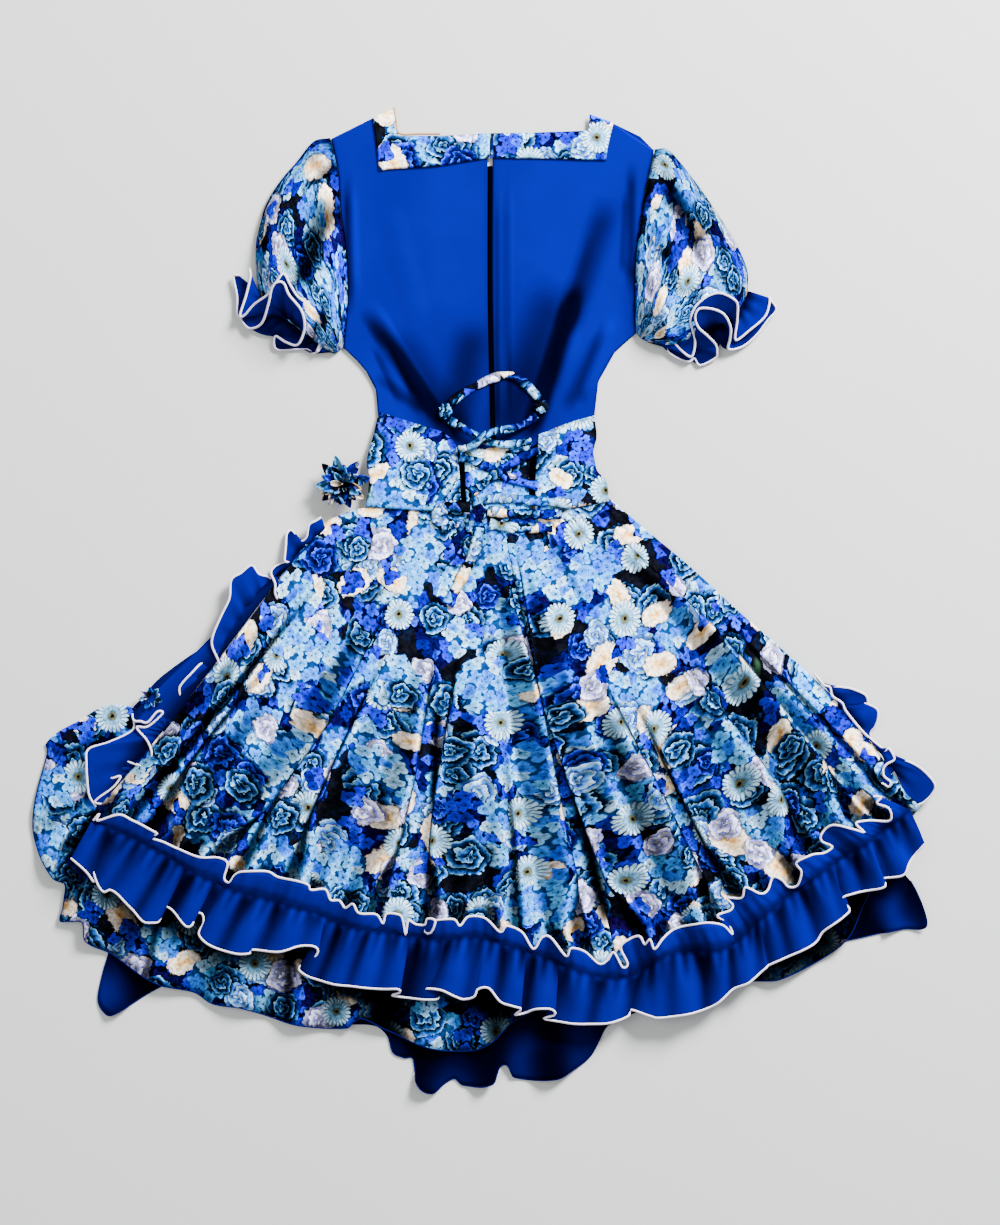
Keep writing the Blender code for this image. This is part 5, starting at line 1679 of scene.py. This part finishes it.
def blooms():
    """Pointed petals of printed cloth, each a small trough that turns up at its tip."""
    for number, bloom in enumerate(BLOOMS):
        petals = bmesh.new()
        layer = petals.loops.layers.uv.new("cloth")
        painted_shade_layer = petals.verts.layers.float.new("fold")
        for k in range(bloom.petals):
            way = 2 * math.pi * (k + 0.25 * math.sin(5.0 * k)) / bloom.petals + bloom.turn
            long = bloom.reach * (0.82 + 0.18 * math.cos(3.0 * k + number))
            ahead = Vector((math.cos(way), math.sin(way)))
            across = Vector((-ahead.y, ahead.x))
            rows = []
            for i in range(PETAL_STEPS + 1):
                t = i / PETAL_STEPS
                width = long * bloom.broad * math.sin(math.pi * min(t * 0.86 + 0.12, 1.0)) ** 0.8
                row = []
                for j in range(7):
                    s = j / 3 - 1
                    spot = Vector((bloom.x, bloom.y)) + ahead * mix(bloom.inner, long, t) + across * width * s
                    lift = bloom.base + bloom.lift * t ** 1.5 + 3.2 * s * s * math.sin(math.pi * t)
                    lift += 0.5 * (k % 3)
                    vertex = petals.verts.new(Vector((spot.x, spot.y, lift)) * MM)
                    # Painted shade, darker at the petal's foot and along the middle of its trough
                    vertex[painted_shade_layer] = (0.2 + 0.6 * ease(t / 0.8)) * (0.5 + 0.5 * abs(s))
                    row.append(vertex)
                rows.append(row)
            for low, high in zip(rows, rows[1:]):
                for j in range(6):
                    face = petals.faces.new((low[j], low[j + 1], high[j + 1], high[j]))
                    for loop in face.loops:
                        x, y, _ = loop.vert.co
                        loop[layer].uv = (x * 1.2 + 0.17 * k, y * 1.2 + 0.31 * number)
        mesh = bpy.data.meshes.new("bloom_" + bloom.name)
        petals.to_mesh(mesh)
        petals.free()
        mesh.shade_smooth()
        piece = bpy.data.objects.new("bloom_" + bloom.name, mesh)
        bpy.context.scene.collection.objects.link(piece)
        mesh.materials.append(PRINT)
        solid = piece.modifiers.new("wall", "SOLIDIFY")
        solid.thickness = PETAL_WALL * MM
        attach(piece, "root")
        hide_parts(bloom.name)


# Hidden layers keep their solids, with a cloth of their own

def hidden_layers():
    """Solids that stay: their faces lie flat, so their cloth reads its place from the object."""
    for node, material in (("bodice_front", plain_solid("front_crepe", colour(0, 40, 150))),
                           # The waist front shows through the gaps between the waist panels: its cloth is the
                           # print's wrong side, painted near black as the shade in those gaps
                           ("waist_front", plain_solid("waist_wrong_side_painted_shade", colour(8, 12, 34))),
                           ("skirt_front", plain_solid("front_skirt_cloth", colour(22, 52, 120))),
                           ("middle_tier_front", plain_solid("front_tier_cloth", colour(22, 52, 120))),
                           ("under_skirt_front", plain_solid("under_skirt_cloth", colour(0, 30, 110))),
                           ("under_skirt_back", plain_solid("under_skirt_back_cloth", colour(0, 26, 96)))):
        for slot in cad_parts[node].material_slots:
            slot.material = material


def plain_solid(name, shade):
    c = Cloth(name, 0.85)
    place = c.add("TexCoord", {}).outputs["Object"]
    grain = c.noise(place, 900.0, 3.0, 0.7).outputs[0]
    c.bump(grain, 0.0004, 0.5)
    return c.finish(c.shade(c.blend(0.0, shade, shade), c.math("MULTIPLY_ADD", grain, 0.4, 0.8)))


# Floor, lights and camera

VIEW_X = 21.9
VIEW_Y = -13.2
VIEW_WIDTH = 1150.0
VIEW_HEIGHT = 3000.0
SENSOR = 36.0
FLOOR_SIZE = 14.0
FLOOR_LEVEL = -0.0003
FLOOR_SHADE = (0.5, 0.51, 0.495, 1.0)
AIR_SHADE = (0.93, 0.96, 1.0, 1.0)
AIR_STRENGTH = 0.85
Lamp = namedtuple("Lamp", "name place target size power")
LAMPS = [
    Lamp("key", (2.3, 2.8, 1.9), (0.0, 0.0, 0.0), 1.3, 1100.0),
    Lamp("fill", (-1.8, 0.4, 2.6), (0.0, -0.1, 0.0), 1.8, 35.0),
]


def studio():
    bpy.ops.mesh.primitive_plane_add(size=FLOOR_SIZE, location=(0, 0, FLOOR_LEVEL))
    floor = bpy.context.object
    floor.name = "studio_floor"
    c = Cloth("floor_paint", 0.9)
    place = c.add("TexCoord", {}).outputs["Object"]
    grain = c.noise(place, 3.0, 2.0).outputs[0]
    shade = c.shade(c.blend(0.0, FLOOR_SHADE, FLOOR_SHADE), c.math("MULTIPLY_ADD", grain, 0.04, 0.98))
    floor.data.materials.append(c.finish(shade))

    world = bpy.data.worlds.new("studio_air")
    world.use_nodes = True
    background = world.node_tree.nodes["Background"]
    background.inputs[0].default_value = AIR_SHADE
    background.inputs[1].default_value = AIR_STRENGTH
    bpy.context.scene.world = world
    for lamp in LAMPS:
        light(*lamp)


def light(name, place, target, size, power):
    data = bpy.data.lights.new(name, "AREA")
    data.size = size
    data.energy = power
    lamp = bpy.data.objects.new(name, data)
    lamp.location = place
    lamp.rotation_euler = (Vector(target) - Vector(place)).to_track_quat("-Z", "Y").to_euler()
    bpy.context.scene.collection.objects.link(lamp)


def camera():
    data = bpy.data.cameras.new("overhead")
    data.sensor_fit = "HORIZONTAL"
    data.sensor_width = SENSOR
    data.lens = SENSOR * VIEW_HEIGHT / VIEW_WIDTH
    seat = bpy.data.objects.new("overhead", data)
    seat.location = (VIEW_X * MM, VIEW_Y * MM, VIEW_HEIGHT * MM)
    bpy.context.scene.collection.objects.link(seat)
    bpy.context.scene.camera = seat


camera()
bodice()
neck_bands()
zip_fastener()
waist()
ties()
sleeves()
cuff_ruffles()
overskirt()
middle_tier()
under_flounce()
hem_flounce()
side_ruffles()
blooms()
hidden_layers()
studio()
